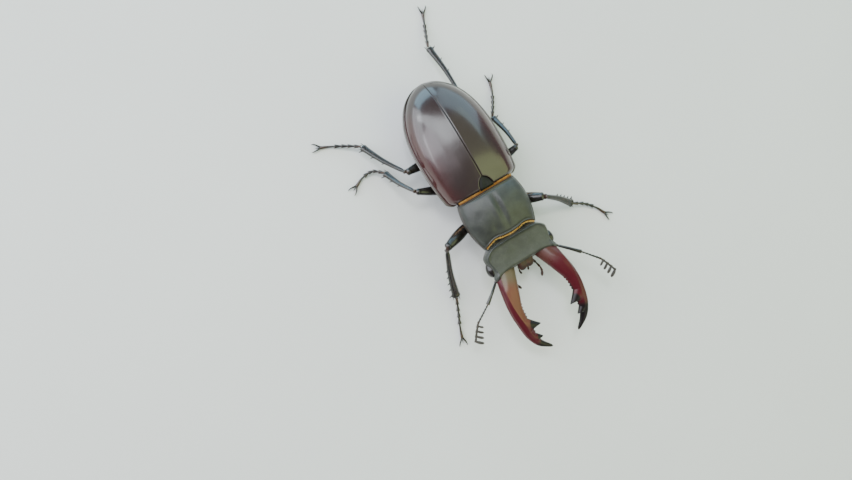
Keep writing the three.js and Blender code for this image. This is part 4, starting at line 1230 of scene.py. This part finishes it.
def thoraxShell():
    # the two sterna of the middle and hind legs: a cross seam, a long midline and slanting seams
    b = belly
    share = bunched(120)[:, None]
    y = mix(b["thoraxStart"], b["thoraxEnd"], share)
    close = mix(0.8, 1, ease(share / 0.25)) * (0.7 + 0.3 * domeEnds(mix(0.01, 0.99, share), 0.03))
    slant = lambda x, y: hump(np.abs(x) - 2.2 - 0.42 * (y - 5), 0, 0.22) * ease(y - 5.2)
    detail = lambda x, y, z: (0.20 * hump(x, 0, 0.22) * ease((y - 5) / 2)
                              + 0.22 * hump(y, 1.5 + 0.10 * np.abs(x), 0.22) + 0.16 * slant(x, y)
                              - 0.30 * hump(x, 0, 0.7) * hump(y, 3.4, 1.3))
    return keelRings(y, underWing(y), bellyHalf(y), bellyDepth(y), close, detail,
                     ("middle_right", "middle_left", "hind_right", "hind_left"))


def abdomenShell():
    # five belly plates, each standing a little proud of the next, and a rounded last one
    b = belly
    beside = np.array([-0.02, -0.012, -0.006, -0.002, 0.002, 0.006, 0.012])
    share = [bunched(60)] + [k / b["plates"] + beside for k in range(1, b["plates"])]
    share = np.unique(np.concatenate(share))[:, None]
    y = mix(b["start"], b["end"], share)
    u = (share * b["plates"]) % 1.0
    step = b["plateStep"] * (ease(u / 0.8) - ease((u - 0.965) / 0.035)) * (share < 0.999)
    close = 0.15 + 0.85 * rounded(share, 0.90, 0.10)
    detail = lambda x, y, z: -step + 0.10 * hump(np.abs(x), bellyHalf(y) * 0.72, 0.5)
    return keelRings(y, underWing(y), bellyHalf(y), bellyDepth(y), close, detail, ("hind_right", "hind_left"))


joins = {
    # from y, to y, half width, lowest and highest point
    "waist_join": (-0.95, 1.05, 6.3, 5.0, 12.1),
    "neck_join": (-11.5, -10.0, 5.0, 6.0, 10.3),
}


def joinShell(start, end, half, low, high):
    # an oval drum with folded sides, the skin between two plates
    share, angle = bunched(40)[:, None], around(96)
    fold = (1 - 0.02 * np.cos(8 * np.pi * share)) * mix(0.5, 1, domeEnds(share, 0.12))
    x = half * signedPower(np.cos(angle), 0.85) * fold
    z = (low + high) / 2 + (high - low) / 2 * signedPower(np.sin(angle), 0.85) * fold
    return shell(stack(x, mix(start, end, share), z))


for name, sizes in joins.items():
    makePiece(name, [joinShell(*sizes)], "under")
makePiece("chest_plate", [chestShell()], "under", ["prosternum"])
makePiece("thorax_plates", [thoraxShell()], "under", ["thorax"])
makePiece("belly_plates", [abdomenShell()], "under", ["abdomen"])
print("underside made")

# feelers

feelers = {
    # base, elbow, root of the club and its tip
    "left": ((8.1, -18.7, 8.7), (12.4, -23.0, 9.4), (15.7, -26.7, 8.9), (17.6, -30.8, 8.3)),
    "right": ((-7.9, -18.8, 8.7), (-12.2, -22.2, 9.2), (-16.0, -24.7, 8.4), (-18.5, -28.2, 7.5)),
}
feelerSize = {
    "root": 0.30, "tip": 0.46, "beads": 6, "beadFrom": 0.24, "beadTo": 0.31,
    "leaves": 4, "leaf": (0.34, 1.15, 0.58),    # half thickness, length, half height
}


def scapeShell(base, elbow):
    # a long club-ended first joint with a ball at its socket
    swell = lambda t: mix(feelerSize["root"], feelerSize["tip"], t ** 2.2)
    ball = lambda t: 0.10 * hump(t, 0.03, 0.03) - 0.05 * hump(t, 0.09, 0.04)
    radius = lambda t: (swell(t) + ball(t)) * domeEnds(mix(0.01, 0.99, t), 0.05)
    return limb([base, mix(base, elbow, 0.5) + [0, 0, 0.3], elbow], radius, lambda t: radius(t) * 0.92,
                rows=80, sides=32)


def stemShell(elbow, club):
    # a string of beads that grow towards the club
    start, ends = mix(elbow, club, -0.03), np.linspace(0, 1, feelerSize["beads"] + 1)[1:]
    thick = np.linspace(feelerSize["beadFrom"], feelerSize["beadTo"], feelerSize["beads"])
    radius = lambda t: chainRadius(t, ends, thick * 0.55, thick, 0.9, 0.85)
    return limb([start, mix(start, club, 0.5) + [0, 0, 0.05], club], radius, radius, t=chainShares(ends),
                sides=28)


def clubShells(club, tip):
    # four joints, each drawn out to a flat leaf that points inwards
    along = unit(tip - club)
    across = unit(np.cross(along, [0, 0, 1.0]))
    across = -across if across[0] * tip[0] > 0 else across
    ends = np.linspace(0, 1, feelerSize["leaves"] + 1)[1:]
    radius = lambda t: chainRadius(t, ends, 0.22, 0.36, 1.2, 0.8)
    stem = [club, (club + tip) / 2 - across * 0.06, tip]
    made = [limb(stem, radius, radius, t=chainShares(ends), sides=28)]
    thick, long, tall = feelerSize["leaf"]
    for k in range(feelerSize["leaves"]):
        share, size = mix(0.16, 0.98, k / 3), mix(0.72, 1, k / 3)
        root = club + (tip - club) * share - across * 0.1 - along * 0.12
        end = root + across * long * size * 1.82 + along * 0.22
        blade = lambda t: domeEnds(t, 0.30) * (0.62 + 0.38 * np.sin(np.pi * clamp(t * 0.9)))
        flat = lambda t: thick * size * (0.3 + 0.7 * blade(t)) * domeEnds(t, 0.12)
        made.append(limb([root, (root + end) / 2 + along * 0.05, end], flat,
                         lambda t: tall * size * blade(t), rows=44, sides=28))
    return made


for word, places in feelers.items():
    base, elbow, club, tip = (np.array(place) for place in places)
    makePiece(f"scape_{word}", [scapeShell(base, elbow)], "feeler", [f"antenna_scape_{word}"])
    makePiece(f"stem_{word}", [stemShell(elbow, club)], "feeler", [f"antenna_stem_{word}"])
    makePiece(f"club_{word}", clubShells(club, tip), "club", [f"antenna_club_{word}"])
print("feelers made")

# hairs

fringe = {
    # hairs, shortest and longest, how far up they point at least and at most, height of the rolled
    # end they stand on as a share of the plate's, their row on the skin laid flat
    "hind": (3000, 1.05, 1.75, 0.15, 0.45, 0.88, 0.72),
    "front": (1300, 0.24, 0.54, -0.1, 0.25, 0.80, 0.28),
    "thick": 0.028,
}


def spread(low, high, n):
    # n even random numbers between low and high
    return seed.uniform(low, high, n)


def shieldHeight(x, y, roll):
    # the height of the plate at x, near one of its ends
    c = clamp(np.abs(x) / shieldHalf(y)) ** (1 / 0.9)
    return shield["edge"] + (shieldTop(y) - shield["edge"]) * roll * (1 - c ** 2) ** 0.425


def makeFringe(end):
    # a dense golden row along one edge of the pronotum, lying flat over what comes next
    n, short, long, lowest, highest, roll, row = fringe[end]
    sign = 1 if end == "hind" else -1
    x = spread(-1, 1, n) * (shield[end + "Half"] - 0.35)
    y = np.full(n, shield[end]) - sign * spread(0.02, 0.16, n)
    z = shieldHeight(x, y, roll) - spread(0.02, 0.22, n)
    if end == "front":
        y = y + frontSwing(x, 1.0)
    roots = stack(x, y, z)
    aims = stack(spread(-0.22, 0.22, n) + 0.05 * x / 7, sign * np.ones(n), spread(lowest, highest, n))
    droop = stack(spread(-0.1, 0.1, n), np.zeros(n), spread(-0.30, -0.12, n))
    unwrap = stack(0.05 + 0.9 * (x + 8) / 16, row + spread(-0.01, 0.01, n))
    makeHairs(f"fringe_{end}", roots, aims, spread(short, long, n), fringe["thick"], droop, "gold",
              unwrap)


makeFringe("hind")
makeFringe("front")


def makeBrush():
    # the paired golden tongue under the lip
    (x0, y0, z0), n = mouth["brush"], mouth["brushHairs"]
    sign = np.where(np.arange(n) % 2, 1, -1)
    roots = stack(sign * (x0 + spread(-0.28, 0.28, n)), y0 + spread(-0.4, 0.2, n),
                  z0 + spread(-0.3, 0.3, n))
    aims = stack(sign * spread(-0.15, 0.22, n), -np.ones(n), spread(-0.25, 0.12, n))
    droop = stack(-sign * spread(0, 0.12, n), np.zeros(n), spread(-0.30, -0.1, n))
    unwrap = stack(0.1 + 0.8 * spread(0, 1, n), 0.1 + 0.05 * spread(0, 1, n))
    makeHairs("tongue_brush", roots, aims, mouth["brushLong"] * spread(0.6, 1.0, n), mouth["brushThick"],
              droop, "gold", unwrap)


makeBrush()


def limbHairs(line, t, angle, radius):
    # roots on a round limb: the centre plus radius along the direction at that angle
    centre, along = bentLine(line, t)
    across = unit(np.cross(along, [0, 0, 1.0]))
    up = np.cross(across, along)
    away = across * np.cos(angle)[:, None] + up * np.sin(angle)[:, None]
    return centre + away * np.asarray(radius)[:, None] * 0.96, away, along


bristle = {
    # hairs on each limb, how far they lean out, how far ahead, shortest and longest
    "shin": (130, 0.45, 1.0, 0.25, 0.55), "foot": (220, 0.35, 0.9, 0.28, 0.5),
    "thigh": (420, 0.25, 1.0, 0.22, 0.34),
    "footPlaces": (0.15, 0.30, 0.44, 0.583), "thick": 0.019, "lowest": 0.05,
}


def bristleLot(number, kind, line, t, angle, radius):
    # the roots, aims and lengths of one lot, and each hair's place along the unwrapped legs
    n, lean, ahead, short, long = bristle[kind]
    roots, away, along = limbHairs(line, t, angle, radius)
    return roots, away * lean + along * ahead, spread(short, long, n), number / 6 + 0.1 * t


def makeLegHairs():
    # stiff brown bristles along the shins, tufts under each foot joint, down on the front thighs
    lots = []
    for number, leg in enumerate(legs):
        n = bristle["shin"][0]
        t, angle = spread(0.15, 0.97, n), spread(0, 2 * np.pi, n)
        lots.append(bristleLot(number, "shin", shinLine(leg), t, angle, shinWidth(leg, t) * 0.86))
        n = bristle["foot"][0]
        t = np.array(bristle["footPlaces"])[seed.integers(0, 4, n)] - spread(0.0, 0.02, n)
        angle = spread(np.pi * 1.05, np.pi * 1.95, n)
        lots.append(bristleLot(number, "foot", footLine(leg), t, angle, np.full(n, 0.42)))
    for number, leg in enumerate(legs[:2]):
        n, root, knee = bristle["thigh"][0], femurRoot(leg), leg["knee"]
        t = clamp(0.42 + 0.13 * seed.standard_normal(n), 0.15, 0.75)
        angle = np.pi / 2 + 0.9 * np.sign(knee[0]) + 0.28 * seed.standard_normal(n)
        lots.append(bristleLot(number, "thigh", [root, mix(root, knee, 0.5), knee], t, angle,
                               0.80 + 0.42 * np.sin(np.pi * t)))
    roots, aims, lengths, u = (np.concatenate([lot[i] for lot in lots]) for i in range(4))
    lowest = bristle["lowest"]
    roots[:, 2] = np.maximum(roots[:, 2], lowest + 0.01)
    aims = unit(aims)
    low = roots[:, 2] + aims[:, 2] * lengths < lowest
    aims[low, 2] = (lowest - roots[low, 2]) / lengths[low]    # no hair goes under the floor
    unwrap = stack(0.02 + 0.9 * u, 0.5 + 0.4 * spread(0, 1, len(u)))
    makeHairs("leg_bristles", roots, aims, lengths, bristle["thick"], np.zeros_like(roots), "brown",
              unwrap)


makeLegHairs()


bellyHair = {"count": 1500, "short": 0.2, "long": 0.42, "thick": 0.013}


def makeBellyHairs():
    # a sparse row behind each belly plate
    n, plates = bellyHair["count"], belly["plates"]
    plate = seed.integers(1, plates + 1, n)
    y = belly["start"] + (belly["end"] - belly["start"]) * np.minimum(plate / plates - 0.012, 0.93)
    turn = np.pi * spread(0.16, 0.84, n)
    x = bellyHalf(y) * signedPower(np.cos(turn), 0.8)
    depth = bellyDepth(y) * np.where(plate == plates, 0.86, 1)
    z = underWing(y) - 0.5 - (depth - 0.5) * np.sin(turn) ** 1.15 - 0.10
    roots = stack(x, y, z)
    aims = stack(spread(-0.2, 0.2, n), np.ones(n), spread(-0.16, 0.04, n))
    unwrap = stack(0.1 + 0.8 * (x + 10) / 20, 0.1 + 0.16 * plate)
    lengths = spread(bellyHair["short"], bellyHair["long"], n)
    makeHairs("belly_hairs", roots, aims, lengths, bellyHair["thick"], np.zeros((n, 3)), "brown",
              unwrap)


makeBellyHairs()
print("hairs made")

# stage and close


paper = {"half": 2.0, "level": 1.6, "rise": 0.25, "cells": 40}    # metres


def makeFloor():
    # a wide level sheet of paper whose far edge bends up into a low cove
    p, n = paper, paper["cells"] + 1
    s = np.linspace(-1, 1, n) * p["half"]
    x, y = np.meshgrid(s, s, indexing="ij")
    z = p["rise"] * clamp((np.hypot(x, y) - p["level"]) / (p["half"] - p["level"])) ** 2
    i, k = np.meshgrid(np.arange(n - 1) * n, np.arange(n - 1), indexing="ij")
    faces = np.stack([i + k, i + k + n, i + k + n + 1, i + k + 1], -1).reshape(-1, 4)
    mesh = bpy.data.meshes.new("paper")
    mesh.from_pydata(np.stack([x, y, z], -1).reshape(-1, 3).tolist(), [], faces.tolist())
    mesh.polygons.foreach_set("use_smooth", np.ones(len(faces), bool))
    mesh.materials.append(finishes["floor"])
    floor = bpy.data.objects.new("paper", mesh)
    bpy.context.scene.collection.objects.link(floor)


makeFloor()
